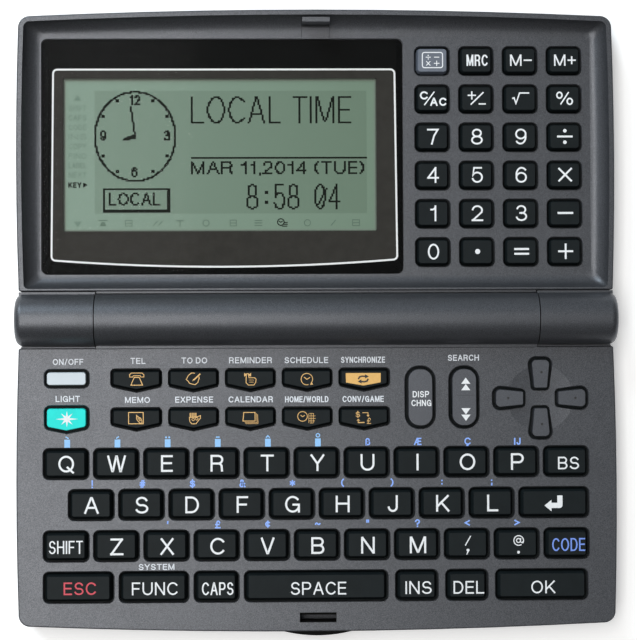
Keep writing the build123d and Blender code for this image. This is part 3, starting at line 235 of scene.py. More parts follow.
@dataclass(frozen=True)
class DisplayGlass:
    """The grey-green display, a little darker inside its dot field, with painted shade that darkens it towards
    its right side.
    """

    margin: Colour = shade(150, 175, 156)
    dots: Colour = shade(138, 162, 143)
    # Painted shade: the share of the colour that is left at the display's right side.
    right_painted_shade: Colour = (0.82, 0.83, 0.78)
    sides_mm: Point = (-61.0, 15.0)
    field_low: Point = (-53.6, 25.85)
    field_high: Point = (12.4, 55.7)

    def dress(self, nodes: Nodes) -> None:
        """Builds the finish in a material."""
        parts = nodes.add("SeparateXYZ")
        nodes.link(nodes.place, "Object", parts, "Vector")
        tests = []
        for axis, low, high in zip("XY", self.field_low, self.field_high):
            for edge, way in ((low, "GREATER_THAN"), (high, "LESS_THAN")):
                tests.append(nodes.add("Math", {1: edge * MM}, operation=way))
                nodes.link(parts, axis, tests[-1], 0)
        inside = tests[0]
        for test in tests[1:]:
            both = nodes.add("Math", operation="MULTIPLY")
            nodes.link(inside, 0, both, 0)
            nodes.link(test, 0, both, 1)
            inside = both
        sides = {MIX_FIRST: (*self.margin, 1.0), MIX_SECOND: (*self.dots, 1.0)}
        mix = nodes.add("Mix", sides, data_type="RGBA")
        nodes.link(inside, 0, mix, "Factor")
        # Painted shade: the colour darkens from the display's left side to its right side.
        left, right = self.sides_mm
        across = nodes.add("MapRange", {"From Min": left * MM, "From Max": right * MM})
        nodes.link(parts, "X", across, "Value")
        sides = {MIX_FIRST: WHITE, MIX_SECOND: (*self.right_painted_shade, 1.0)}
        painted_shade = nodes.add("Mix", sides, data_type="RGBA")
        nodes.link(across, "Result", painted_shade, "Factor")
        tone = nodes.add("Mix", {0: 1.0}, data_type="RGBA", blend_type="MULTIPLY")
        nodes.link(mix, MIX_RESULT, tone, MIX_FIRST)
        nodes.link(painted_shade, MIX_RESULT, tone, MIX_SECOND)
        nodes.link(tone, MIX_RESULT, nodes.surface, "Base Color")
        nodes.set(Roughness=0.3, Specular_IOR_Level=0.12)


@dataclass(frozen=True)
class Ink:
    """Printing ink."""

    colour: Colour
    roughness: float = 0.5
    metallic: float = 0.0
    patch_mm: float = 0.5

    def dress(self, nodes: Nodes) -> None:
        """Builds the finish in a material."""
        patch = nodes.noise(self.patch_mm, 3.0, 0.6)
        nodes.paint(patch, (0.35, scaled(self.colour, 0.93)), (0.6, self.colour))
        nodes.set(Roughness=self.roughness, Metallic=self.metallic)


@dataclass(frozen=True)
class PlainMetal:
    """Bare or plated metal with fine drawn lines."""

    colour: Colour
    roughness: float = 0.3
    line_mm: float = 0.8
    line_depth_mm: float = 0.004

    def dress(self, nodes: Nodes) -> None:
        """Builds the finish in a material."""
        tone = nodes.noise(self.line_mm, 4.0, 0.7)
        nodes.paint(tone, (0.3, scaled(self.colour, 0.85)), (0.7, self.colour))
        nodes.set(Roughness=self.roughness, Metallic=1.0)
        nodes.relief(tone, self.line_depth_mm, 0.4)


FINISHES: dict[str, SpeckledPlastic | MouldedPlastic | ClearWindow | DisplayGlass | Ink | PlainMetal] = {
    "case_charcoal": SpeckledPlastic(shade(54, 56, 60), shade(100, 102, 107)),
    "key_charcoal": SpeckledPlastic(shade(72, 74, 79), shade(92, 95, 101), 0.006),
    # Black of the latch button and data jack, also used as painted shade on the case's walls in the hook slot.
    "catch_black": MouldedPlastic(shade(12, 13, 13), 0.6, 0.08),
    "key_black": MouldedPlastic(shade(22, 28, 30), 0.5, 0.12, grain_depth_mm=0.01),
    "key_pale": MouldedPlastic(shade(195, 205, 212), 0.35, spread=0.02),
    "key_turquoise": MouldedPlastic(shade(34, 226, 216), 0.5, 0.2, spread=0.04),
    "key_grey": MouldedPlastic(shade(97, 104, 116)),
    "film_black": MouldedPlastic(shade(8, 9, 7), 0.5, 0.05),
    "panel_white": MouldedPlastic(shade(190, 214, 205)),
    "holder_white": MouldedPlastic(shade(222, 222, 214), 0.5, spread=0.03),
    "board_green": MouldedPlastic(shade(24, 92, 58), 0.35, grain_mm=1.2, grain_depth_mm=0.03, spread=0.2),
    "chip_black": MouldedPlastic(shade(30, 30, 32), 0.55),
    "mat_black": MouldedPlastic(shade(20, 21, 23), 0.7, 0.2),
    "foot_rubber": MouldedPlastic(shade(28, 28, 29), 0.8, grain_mm=0.5, grain_depth_mm=0.03),
    "contact_strip": MouldedPlastic(shade(60, 60, 62), 0.7),
    "cable_amber": MouldedPlastic(shade(170, 106, 40), 0.3),
    "reset_red": MouldedPlastic(shade(160, 44, 38)),
    "clear_window": ClearWindow(),
    "display_glass": DisplayGlass(),
    "plain_steel": PlainMetal(shade(190, 192, 194)),
    "cell_plate": PlainMetal(shade(205, 206, 206), 0.22),
    "contact_bronze": PlainMetal(shade(214, 178, 106), 0.28),
    "ink_white": Ink(shade(236, 238, 240)),
    "ink_label": Ink(shade(222, 226, 232)),
    "ink_outline": Ink(shade(253, 253, 252)),
    "ink_blue": Ink(shade(118, 152, 236)),
    "ink_mark": Ink(shade(140, 178, 255)),
    "ink_sky": Ink(shade(146, 200, 250)),
    # Painted shade for the crease in the middle of the search rocker.
    "ink_crease": Ink(shade(58, 61, 66)),
    "ink_red": Ink(shade(212, 66, 82)),
    "ink_gold": Ink(shade(214, 170, 98), 0.42, 0.3),
    "ink_gold_line": Ink(shade(204, 164, 102), 0.42, 0.3),
    "ink_surround": MouldedPlastic(shade(58, 56, 52), 0.7, 0.05),
    "ink_dark": Ink(shade(24, 24, 26)),
    "display_dots": MouldedPlastic(shade(30, 34, 28), 0.8, 0.02),
    "display_ghost": MouldedPlastic(shade(133, 157, 140), 0.7, 0.05),
    # A darker copy of the switched-off ink: painted shade, so the near row stays darker than the shaded right
    # side of the display.
    "display_ghost_dark": MouldedPlastic(shade(118, 140, 122), 0.7, 0.05),
    # Painted shadow that the window's rim casts on the display: darker at the edge, lighter just inside it.
    "display_edge": Ink(shade(92, 104, 90)),
    "display_rim": Ink(shade(132, 150, 132)),
}

NODES_OF_FINISH: dict[str, str] = {
    "case_charcoal": "lower_case keyboard_cover battery_cover lid_shell lid_frame lid_hook",
    "foot_rubber": "rubber_feet",
    "plain_steel": "case_screws lid_screws quartz_crystal latch_spring hinge_clip hinge_pins",
    "board_green": "main_board lid_board",
    "mat_black": "key_mat calculator_key_mat",
    "chip_black": "processor memory_chips driver_chips",
    "contact_bronze": "piezo_buzzer battery_contacts",
    "cell_plate": "main_cells backup_cell",
    "catch_black": "data_jack latch_button",
    "cable_amber": "hinge_flex_cable",
    "clear_window": "display_window",
    "film_black": "display_mask",
    "display_glass": "lcd_panel",
    "panel_white": "backlight_panel",
    "holder_white": "display_holder",
    "contact_strip": "zebra_strips",
    "reset_red": "reset_button",
    "key_pale": "on_off_key",
    "key_turquoise": "light_key",
    "key_charcoal": "display_change_key search_rocker cursor_up_key cursor_down_key cursor_left_key "
                    "cursor_right_key",
}
NODE_FINISH = {node: finish for finish, nodes in NODES_OF_FINISH.items() for node in nodes.split()}


def make_finishes() -> None:
    """Makes every material of the organizer."""
    for name, finish in FINISHES.items():
        finish.dress(Nodes(name))


@dataclass(frozen=True)
class CaseDresser:
    """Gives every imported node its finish."""

    cap_foot_mm: float = 9.19
    menu_key_near_mm: float = 59.0
    menu_key_foot_mm: float = 6.4
    slot_half_mm: float = 9.2
    slot_sides_mm: Point = (-75.3, -69.5)
    slot_top_mm: float = BASE_TOP - 0.1

    def dress(self, nodes: dict[str, bpy.types.Object]) -> None:
        """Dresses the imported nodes, given by name."""
        for name, piece in nodes.items():
            finish = NODE_FINISH.get(name, "key_black")
            piece.data.materials.clear()
            piece.data.materials.append(bpy.data.materials[finish])
            if finish in ("key_pale", "key_turquoise", "key_charcoal"):
                self.second_finish(piece, "key_black", self.under_cap)
            # The case's walls in the hook slot get the black finish as painted shade.
            if name in ("keyboard_cover", "lower_case"):
                self.second_finish(piece, "catch_black", self.in_shaded_hook_slot)
            if name == "calculator_keys_1":
                self.second_finish(piece, "key_grey", self.on_menu_key)
            log.info("%s wears %s", name, finish)

    def under_cap(self, x: float, y: float, z: float) -> bool:
        """Returns whether a point is on the foot of a light key, which stands in its well."""
        return z < self.cap_foot_mm

    def in_shaded_hook_slot(self, x: float, y: float, z: float) -> bool:
        """Returns whether a point is on a wall of the slot that takes the lid's hook, where black is painted
        shade.
        """
        near, far = self.slot_sides_mm
        return abs(x) < self.slot_half_mm and near < y < far and z < self.slot_top_mm

    def on_menu_key(self, x: float, y: float, z: float) -> bool:
        """Returns whether a point is on the cap of the grey key at the far left of the calculator block."""
        return y > self.menu_key_near_mm and z > self.menu_key_foot_mm

    def second_finish(self, piece: bpy.types.Object, name: str, chosen: Callable[..., bool]) -> None:
        """Gives some faces of a node another finish.

        Args:
            piece: The node.
            name: The other finish.
            chosen: Says for a face's middle in millimetres whether it gets that finish.
        """
        piece.data.materials.append(bpy.data.materials[name])
        for face in piece.data.polygons:
            face.material_index = 1 if chosen(*(face.center / MM)) else 0


def path(drawing: str, x: float = 0.0, y: float = 0.0) -> list[Point]:
    """Returns the points of a line that is written as text.

    Args:
        drawing: Points "x,y" and arcs "@x,y,across,up,start,end" with radii and angles in degrees. An arc has a
            point every 15 degrees, or as many steps as a seventh number says.
        x: How far all of it moves along X.
        y: How far all of it moves along Y.

    Returns:
        The points.
    """
    points: list[Point] = []
    for token in drawing.split():
        values = [float(value) for value in token.lstrip("@").split(",")]
        if token.startswith("@"):
            centre_x, centre_y, across, up, start, end, *steps = values
            count = int(steps[0]) if steps else max(4, round(abs(end - start) / 15))
            points += arc((centre_x, centre_y), across, start, end, count, up / across)
        else:
            points.append((values[0], values[1]))
    return [(x + px, y + py) for px, py in points]


class Typeface:
    """A plain upright sans typeface of even strokes, drawn on a grid where a capital is 10 high."""

    GAP = 2.1
    WORD_GAP = 4.5
    WEIGHT = 0.122
    WEIGHT = 0.122
    GLYPHS: dict[str, tuple[float, str]] = {
        "A": (8.5, "0,0 3.95,10 4.55,10 8.5,0|1.5,3.4 7,3.4"),
        "B": (7.5, "0,0 0,10|0,10 4.5,10 @4.5,7.55,2.6,2.45,90,-90 0,5.1|"
              ""
              "0,0 4.7,0 @4.7,2.55,2.8,2.55,-90,90 0,5.1"),
        "C": (8.4, "@4.6,5,4.6,5,40,320"),
        "D": (7.9, "0,0 0,10 3.4,10 @3.4,5,4.5,5,90,-90 z"),
        "E": (6.6, "6.6,10 0,10 0,0 6.6,0|0,5.2 6.1,5.2"),
        "F": (6.4, "6.4,10 0,10 0,0|0,5 5.6,5"),
        "G": (8.8, "@4.5,5,4.5,5,42,335|8.7,0 8.7,4.7 5,4.7"),
        "H": (8.1, "0,0 0,10|8.1,0 8.1,10|0,5.2 8.1,5.2"),
        "I": (0.0, "0,0 0,10"),
        "J": (5.5, "5.5,10 5.5,2.9 @2.75,2.9,2.75,2.9,0,-170"),
        "K": (7.7, "0,0 0,10|7.3,10 0.2,3|2.8,5.6 7.7,0"),
        "L": (6.2, "0,10 0,0 6.2,0"),
        "M": (9.8, "0,0 0,10|0.5,10 4.6,0.3 5.2,0.3 9.3,10|9.8,0 9.8,10"),
        "N": (7.9, "0,0 0,10|0.4,10 7.5,0|7.9,0 7.9,10"),
        "O": (9.3, "@4.65,5,4.65,5,0,345 z"),
        "P": (7.4, "0,0 0,10|0,10 4.6,10 @4.6,7.25,2.8,2.75,90,-90 0,4.5"),
        "Q": (9.3, "@4.65,5,4.65,5,0,345 z|5.6,2.6 9.2,-0.8"),
        "R": (7.6, "0,0 0,10|0,10 4.6,10 @4.6,7.4,2.7,2.6,90,-90 0,4.8|4.4,4.8 @4.6,2.6,2.3,2.2,80,0 7.1,0"),
        "S": (7.4, "@3.7,7.4,3.3,2.6,20,250 @3.7,2.55,3.7,2.55,75,-160"),
        "T": (7.5, "0,10 7.5,10|3.75,10 3.75,0"),
        "U": (8.1, "0,10 0,3.9 @4.05,3.9,4.05,3.9,180,360 8.1,10"),
        "V": (7.9, "0,10 3.65,0 4.25,0 7.9,10"),
        "W": (11.3, "0,10 2.7,0 3.2,0 5.4,10 5.9,10 8.1,0 8.6,0 11.3,10"),
        "X": (7.8, "0,0 7.6,10|0.2,10 7.8,0"),
        "Y": (8.1, "0,10 4.05,4.3 8.1,10|4.05,4.5 4.05,0"),
        "Z": (7.7, "0.3,10 7.4,10|7.4,10 0.2,0|0,0 7.7,0"),
        "0": (6.8, "@3.4,5,3.4,5,0,345 z"),
        "1": (4.2, "0.6,7.6 @1.2,10,2.4,2.4,-90,-10|3.6,10 3.6,0"),
        "2": (7.0, "@3.5,7.1,3.3,2.9,170,-35|6.4,5.6 0.4,0.1|0,0 7,0"),
        "3": (6.8, "@3.3,7.45,2.9,2.55,160,-85|2.5,5.1 3.6,5.1|@3.4,2.6,3.4,2.6,85,-165"),
        "4": (7.0, "5.2,0 5.2,10|5.2,10 0,3|0,3 7,3"),
        "5": (6.9, "6.3,10 1.3,10 0.5,4.9 @3.5,3.35,3.4,3.35,140,-160"),
        "6": (6.9, "@3.5,3.2,3.4,3.2,0,345 z|@3.8,5.2,3.7,4.8,45,190"),
        "7": (6.9, "0,10 6.9,10 4.3,5.6 2.7,0"),
        "8": (7.0, "@3.5,7.55,2.9,2.45,0,345 z|@3.5,2.6,3.5,2.6,0,345 z"),
        "9": (6.9, "@3.4,6.8,3.4,3.2,0,345 z|@3.1,4.8,3.7,4.8,-135,10"),
        "+": (6.6, "0,5 6.6,5|3.3,1.7 3.3,8.3"),
        "-": (6.6, "0,5 6.6,5"),
        "/": (4.0, "0,-0.4 4,10.4"),
        ",": (0.0, "0.4,0.4 0,-1.6"),
        ":": (0.0, "0,2.4 0,2.6|0,7.4 0,7.6"),
        "!": (0.0, "0,10 0,3.6|0,0.2 0,0"),
        "#": (6.5, "1.4,0 2.8,10|4.0,0 5.4,10|0,3.3 6.3,3.3|0.4,6.7 6.7,6.7"),
        "$": (6.4, "@3.2,6.9,2.9,2.1,20,250 @3.2,2.9,3.2,2.2,75,-160|3.2,-0.8 3.2,10.8"),
        "&": (7.5, "7.4,0 1.9,7.0 @3.0,8.2,1.7,1.7,200,-40 1.2,4.2 @2.6,2.3,2.5,2.4,130,300 7.0,4.6"),
        "*": (6.0, "3,1.5 3,8.5|0,3.2 6,6.8|0,6.8 6,3.2"),
        ";": (0.0, "0,7.4 0,7.6|0.3,2.6 0,0.4"),
        "'": (0.0, "0.3,9.6 0,7.2|0,9.4 0.3,9.4"),
        '"': (2.4, "0,10 0,7.4|2.4,10 2.4,7.4"),
        "£": (6.6, "6.2,7.6 @4,7.4,2.1,2.6,10,180 1.9,0|0,0 6.6,0|0.2,4.8 5,4.8"),
        "¢": (6.2, "@3.2,5,3,3.2,45,315|3.2,0.6 3.2,9.4"),
        "~": (6.5, "0,4.4 @1.6,4.6,1.6,1.4,170,20 @4.9,5.4,1.6,1.4,200,350"),
        "?": (5.6, "@2.8,7.3,2.8,2.7,170,-60 2.8,4.6 2.8,3.2|2.8,0.2 2.8,0"),
        "<": (6.0, "6,8.2 0,5 6,1.8"),
        ">": (6.0, "0,8.2 6,5 0,1.8"),
        "ß": (5.8, "0,0 0,7.6 @2.5,7.6,2.5,2.4,180,0 @3.0,6.8,2.0,1.8,0,-90 @2.9,2.6,2.9,2.5,85,-120"),
        "Æ": (10.5, "0,0 4.4,10 10.3,10|1.4,3.4 5.6,3.4|5.6,10 5.6,0 10.5,0|5.6,5.2 9.8,5.2"),
        "Ç": (8.4, "@4.6,5,4.6,5,40,320|4.6,0 5.4,-1.2 4.4,-2.2 3.2,-2.0"),
        "(": (2.0, "@5,5,5,6,120,240"),
        ")": (2.0, "@-3,5,5,6,60,-60"),
    }

    @classmethod
    def strokes(cls, letter: str) -> list[Stroke]:
        """Returns the strokes of a letter on the grid, each with whether it is closed."""
        parts = cls.GLYPHS[letter][1].split("|")
        return [(path(part.removesuffix(" z")), part.endswith(" z")) for part in parts]

    @classmethod
    def layout(cls, text: str, width: float | None, height: float, line: float) -> tuple[list[Stroke], float]:
        """Sets a word.

        Args:
            text: The word.
            width: Its full width, or None for the typeface's own.
            height: The height of a capital.
            line: The width of its strokes.

        Returns:
            The strokes, with the word's lower left corner at the origin, and the word's width.
        """
        up = (height - line) / 10
        letters = [letter for letter in text if letter != " "]
        units = sum(cls.GLYPHS[letter][0] for letter in letters)
        units += cls.GAP * (len(text) - 1) + (cls.WORD_GAP - cls.GAP) * text.count(" ")
        across = up if width is None else (width - line * len(letters)) / units
        strokes: list[Stroke] = []
        x = line / 2
        for letter in text:
            if letter == " ":
                x += cls.WORD_GAP * across
                continue
            for points, closed in cls.strokes(letter):
                strokes.append(([(x + px * across, line / 2 + py * up) for px, py in points], closed))
            x += (cls.GLYPHS[letter][0] + cls.GAP) * across + line
        return strokes, x - cls.GAP * across - line / 2


class Print:
    """Collects flat printed shapes and raises them into one thin piece. All places are in millimetres."""

    LEVELS = 8
    SHARPEST_MITRE = 0.4
    SAME_POINT = 1e-4

    def __init__(self, name: str, body: str, height_mm: float, ink: str, slot: str) -> None:
        """Starts an empty print.

        Args:
            name: The piece's name.
            body: The body that it rides on.
            height_mm: The height of the surface that it lies on.
            ink: The name of its material.
            slot: The slot of its finish. It is not used.
        """
        self.name = name
        self.body = body
        self.height = height_mm + PRINT_LIFT
        self.ink = ink
        self.slot = slot
        self.layer = 0
        self.mesh = bmesh.new()

    def corners(self, points: Sequence[Point]) -> tuple[Corners, Corners]:
        """Returns new lower and upper corners. The tops of shapes that follow each other differ in level."""
        top = self.height + PRINT_THICKNESS + PRINT_LAYER * (self.layer % self.LEVELS)
        low, high = ([self.mesh.verts.new((x * MM, y * MM, z * MM)) for x, y in points]
                     for z in (self.height, top))
        return low, high

    def walls(self, low: Corners, high: Corners, closed: bool) -> None:
        """Adds the upright faces between lower and upper corners."""
        count = len(low)
        for i in range(count if closed else count - 1):
            j = (i + 1) % count
            self.mesh.faces.new((low[i], low[j], high[j], high[i]))

    def polygon(self, points: Sequence[Point]) -> None:
        """Adds a flat filled shape by its corners."""
        self.layer += 1
        low, high = self.corners(points)
        self.mesh.faces.new(high)
        self.mesh.faces.new(low[::-1])
        self.walls(low, high, True)

    def rectangle(self, x0: float, y0: float, x1: float, y1: float) -> None:
        """Adds a filled rectangle between two corners."""
        self.polygon([(x0, y0), (x1, y0), (x1, y1), (x0, y1)])

    def disc(self, x: float, y: float, radius: float, sides: int = 16) -> None:
        """Adds a filled circle."""
        self.polygon(arc((x, y), radius, 0, 360, sides)[:-1])

    def stroke(self, points: Sequence[Point], width: float, closed: bool = False, square: bool = False) -> None:
        """Adds a line of even width with mitred corners.

        Args:
            points: The line's points.
            width: Its width.
            closed: Whether it runs back to its start.
            square: Whether free ends reach half the width further.
        """
        line = [Vector(points[0])]
        line += [Vector(here) for last, here in zip(points, points[1:])
                 if math.dist(last, here) > self.SAME_POINT]
        if square and not closed:
            line[0] = line[0] + (line[0] - line[1]).normalized() * width / 2
            line[-1] = line[-1] + (line[-1] - line[-2]).normalized() * width / 2
        count = len(line)
        left: list[Point] = []
        right: list[Point] = []
        self.layer += 1
        for i, here in enumerate(line):
            ways = []
            if i or closed:
                ways.append((here - line[i - 1]).normalized())
            if i < count - 1 or closed:
                ways.append((line[(i + 1) % count] - here).normalized())
            way = sum(ways, Vector((0.0, 0.0))).normalized()
            side = Vector((-way.y, way.x))
            spread = width / 2 / max(self.SHARPEST_MITRE, side.dot(Vector((-ways[0].y, ways[0].x))))
            left.append(tuple(here + side * spread))
            right.append(tuple(here - side * spread))
        left_low, left_high = self.corners(left)
        right_low, right_high = self.corners(right)
        for i in range(count if closed else count - 1):
            j = (i + 1) % count
            self.mesh.faces.new((right_high[i], right_high[j], left_high[j], left_high[i]))
            self.mesh.faces.new((left_low[i], left_low[j], right_low[j], right_low[i]))
        self.walls(left_high, left_low, closed)
        self.walls(right_low, right_high, closed)
        if not closed:
            self.mesh.faces.new((left_low[0], right_low[0], right_high[0], left_high[0]))
            self.mesh.faces.new((right_low[-1], left_low[-1], left_high[-1], right_high[-1]))

    def picture(self, drawing: str, x: float = 0.0, y: float = 0.0) -> None:
        """Adds a small picture.

        Args:
            drawing: Parts between bars. Each has a kind, the width of its line and its points as path() reads
                them. The kinds are o for an open line, s for one with square ends, c for a closed line and p
                for a filled shape, which has no width.
            x: Where its origin lies along X.
            y: Where its origin lies along Y.
        """
        for part in drawing.split("|"):
            head, _, rest = part.partition(" ")
            points = path(rest, x, y)
            if head == "p":
                self.polygon(points)
            else:
                self.stroke(points, float(head[1:]), head[0] == "c", head[0] == "s")

    def words(self, text: str, x: float, y: float, height: float, width: float | None = None,
              line: float | None = None) -> None:
        """Adds a word.

        Args:
            text: The word.
            x: Its middle along X.
            y: Its middle along Y.
            height: The height of a capital.
            width: Its full width, or None for the typeface's own.
            line: The width of its strokes, or None for a share of its height.
        """
        line = height * Typeface.WEIGHT if line is None else line
        strokes, full = Typeface.layout(text, width, height, line)
        for points, closed in strokes:
            self.stroke([(x - full / 2 + px, y - height / 2 + py) for px, py in points], line, closed, True)

    def finish(self) -> None:
        """Makes the print a piece that rides on its body."""
        bmesh.ops.recalc_face_normals(self.mesh, faces=self.mesh.faces)
        data = bpy.data.meshes.new(self.name)
        self.mesh.to_mesh(data)
        self.mesh.free()
        data.materials.append(bpy.data.materials[self.ink])
        piece = bpy.data.objects.new(self.name, data)
        bpy.context.scene.collection.objects.link(piece)
        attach(piece, self.body)
        log.info("%s: %d faces", self.name, len(data.polygons))


def arc(centre: Point, radius: float, start: float, end: float, steps: int,
        squeeze: float = 1.0) -> list[Point]:
    """Returns points on an arc.

    Args:
        centre: Its centre.
        radius: Its radius along X.
        start: Its first angle in degrees.
        end: Its last angle in degrees.
        steps: How many pieces it has.
        squeeze: Its radius along Y as a share of that along X.

    Returns:
        The points from start to end.
    """
    points = []
    for i in range(steps + 1):
        angle = math.radians(start + (end - start) * i / steps)
        points.append((centre[0] + radius * math.cos(angle), centre[1] + radius * squeeze * math.sin(angle)))
    return points


def print_picture(name: str, body: str, height_mm: float, ink: str, slot: str, drawing: str, x: float = 0.0,
                  y: float = 0.0) -> None:
    """Makes a print of one picture, with the arguments of Print and of its picture()."""
    target = Print(name, body, height_mm, ink, slot)
    target.picture(drawing, x, y)
    target.finish()


@dataclass(frozen=True)
class Keyboard:
    """The typewriter block: words on the caps and the small marks between them."""

    first_x: float = -60.05
    first_y: float = -34.36
    pitch_x: float = 12.0
    pitch_y: float = 9.9
    home_shift: float = 6.0
    letter_height: float = 4.0
    word_height: float = 3.0
    word_line: float = 0.36
    marks_y: float = -29.55
    marks_shift: float = 0.15
    code_pitch: float = 11.975

    def dress(self) -> None:
        """Prints every cap and mark."""
        self.letters()
        self.bottom_row()
        self.accent_marks()
        self.code_marks()

    def row(self, target: Print, letters: str, x: float, row: int) -> None:
        """Prints letters on the caps of a row.

        Args:
            target: The print of the row.
            letters: The letters from the left.
            x: The middle of the first one.
            row: The row, counted from the far one.
        """
        for i, letter in enumerate(letters):
            target.words(letter, x + self.pitch_x * i, self.first_y - self.pitch_y * row, self.letter_height)

    def letters(self) -> None:
        """Prints the three full rows."""
        upper = Print("upper_row_letters", "upper_letter_keys", KEY_TOP, "ink_white", "black_key")
        self.row(upper, "QWERTYUIOP", self.first_x, 0)
        upper.words("BS", 60.27, -34.77, self.word_height, 5.06, self.word_line)
        upper.finish()
        middle = Print("middle_row_letters", "middle_letter_keys", KEY_TOP, "ink_white", "black_key")
        self.row(middle, "ASDFGHJKL", self.first_x + self.home_shift, 1)
        middle.picture("p 57.5,-42.55 58.75,-42.55 @58,-44.8,0.75,0.75,0,-90,5 56,-45.55 56,-44.3 57.5,-44.3|"
                       "p 56.1,-43.6 54.4,-44.95 56.1,-46.35")
        middle.finish()
        lower = Print("lower_row_letters", "lower_letter_keys", KEY_TOP, "ink_white", "black_key")
        lower.words("SHIFT", -60.15, -54.22, 3.12, 8.08, 0.33)
        self.row(lower, "ZXCVBNM", self.first_x + self.pitch_x, 2)
        lower.picture("o0.26 35.3,-54.4 36.6,-52.1|p @35.95,-55.5,0.36,0.36,0,337.5,15|"
                      "p 36.31,-55.5 35.7,-56.6 35.55,-56.5 35.85,-55.7")
        lower.picture("o0.24 @0,0,1.16,1.16,-35,305,24|c0.24 @-0.05,0,0.48,0.48,0,345|"
                      "o0.22 0.5,0.55 0.42,-0.35 0.7,-0.5 0.98,-0.3", 48.14, -53.27)
        lower.disc(48.09, -56.08, 0.34)
        lower.finish()
        code = Print("code_word", "lower_letter_keys", KEY_TOP, "ink_blue", "black_key")
        code.words("CODE", 60.16, -54.32, 3.1, 7.94, 0.34)
        code.finish()

    def bottom_row(self) -> None:
        """Prints the words of the near row."""
        row = Print("bottom_row_words", "bottom_row_keys", KEY_TOP, "ink_white", "black_key")
        for text, x, y, width in (("FUNC", -39.01, -64.19, 10.91), ("CAPS", -24.02, -64.29, 7.52),
                                  ("SPACE", 0.08, -64.36, 13.26), ("INS", 24.03, -64.36, 6.28),
                                  ("DEL", 36.1, -64.39, 7.36), ("OK", 53.97, -64.42, 5.77)):
            row.words(text, x, y, self.word_height + 0.05, width, self.word_line)
        row.finish()
        escape = Print("escape_word", "bottom_row_keys", KEY_TOP, "ink_red", "black_key")
        escape.words("ESC", -56.85, -64.06, self.word_height, 7.72, self.word_line)
        escape.finish()

    def accent_marks(self) -> None:
        """Prints the small marks for accents and foreign letters above the far row."""
        marks = Print("accent_marks", "base", BASE_TOP, "ink_sky", "case_plastic")
        dots = "p @-0.38,1.4,0.24,0.24,0,315,7|p @0.38,1.4,0.24,0.24,0,315,7"
        accents = ("o0.28 -0.35,1.65 0.35,1.2", "o0.28 -0.3,1.2 0.35,1.65", dots, "o0.28 -0.45,1.4 0.45,1.4",
                   "o0.28 -0.45,1.2 0,1.65 0.45,1.2", "c0.24 @0,1.7,0.42,0.42,0,345")
        first = self.first_x + self.marks_shift
        for i, accent in enumerate(accents):
            marks.picture(f"p -0.68,-0.95 0.68,-0.95 0.68,0.95 -0.68,0.95|{accent}", first + self.pitch_x * i,
                          self.marks_y)
        marks.finish()
        marks = Print("foreign_letter_marks", "base", BASE_TOP, "ink_mark", "case_plastic")
        for i, sign in enumerate("ßÆÇ", len(accents)):
            marks.words(sign, first + self.pitch_x * i, self.marks_y + 0.1, 1.75, line=0.32)
        marks.words("IJ", first + self.pitch_x * 9, self.marks_y, 1.7, 1.6, 0.34)
        marks.finish()

    def code_marks(self) -> None:
        """Prints the small blue signs above the two nearer letter rows."""
        marks = Print("code_marks", "base", BASE_TOP, "ink_mark", "case_plastic")
        for first, y, signs in ((-53.95, -39.25, "!#$&*():;"), (-35.95, -49.05, "'£¢~\"?<>")):
            for i, sign in enumerate(signs):
                marks.words(sign, first + self.code_pitch * i, y, 1.9, line=0.34)
        marks.finish()


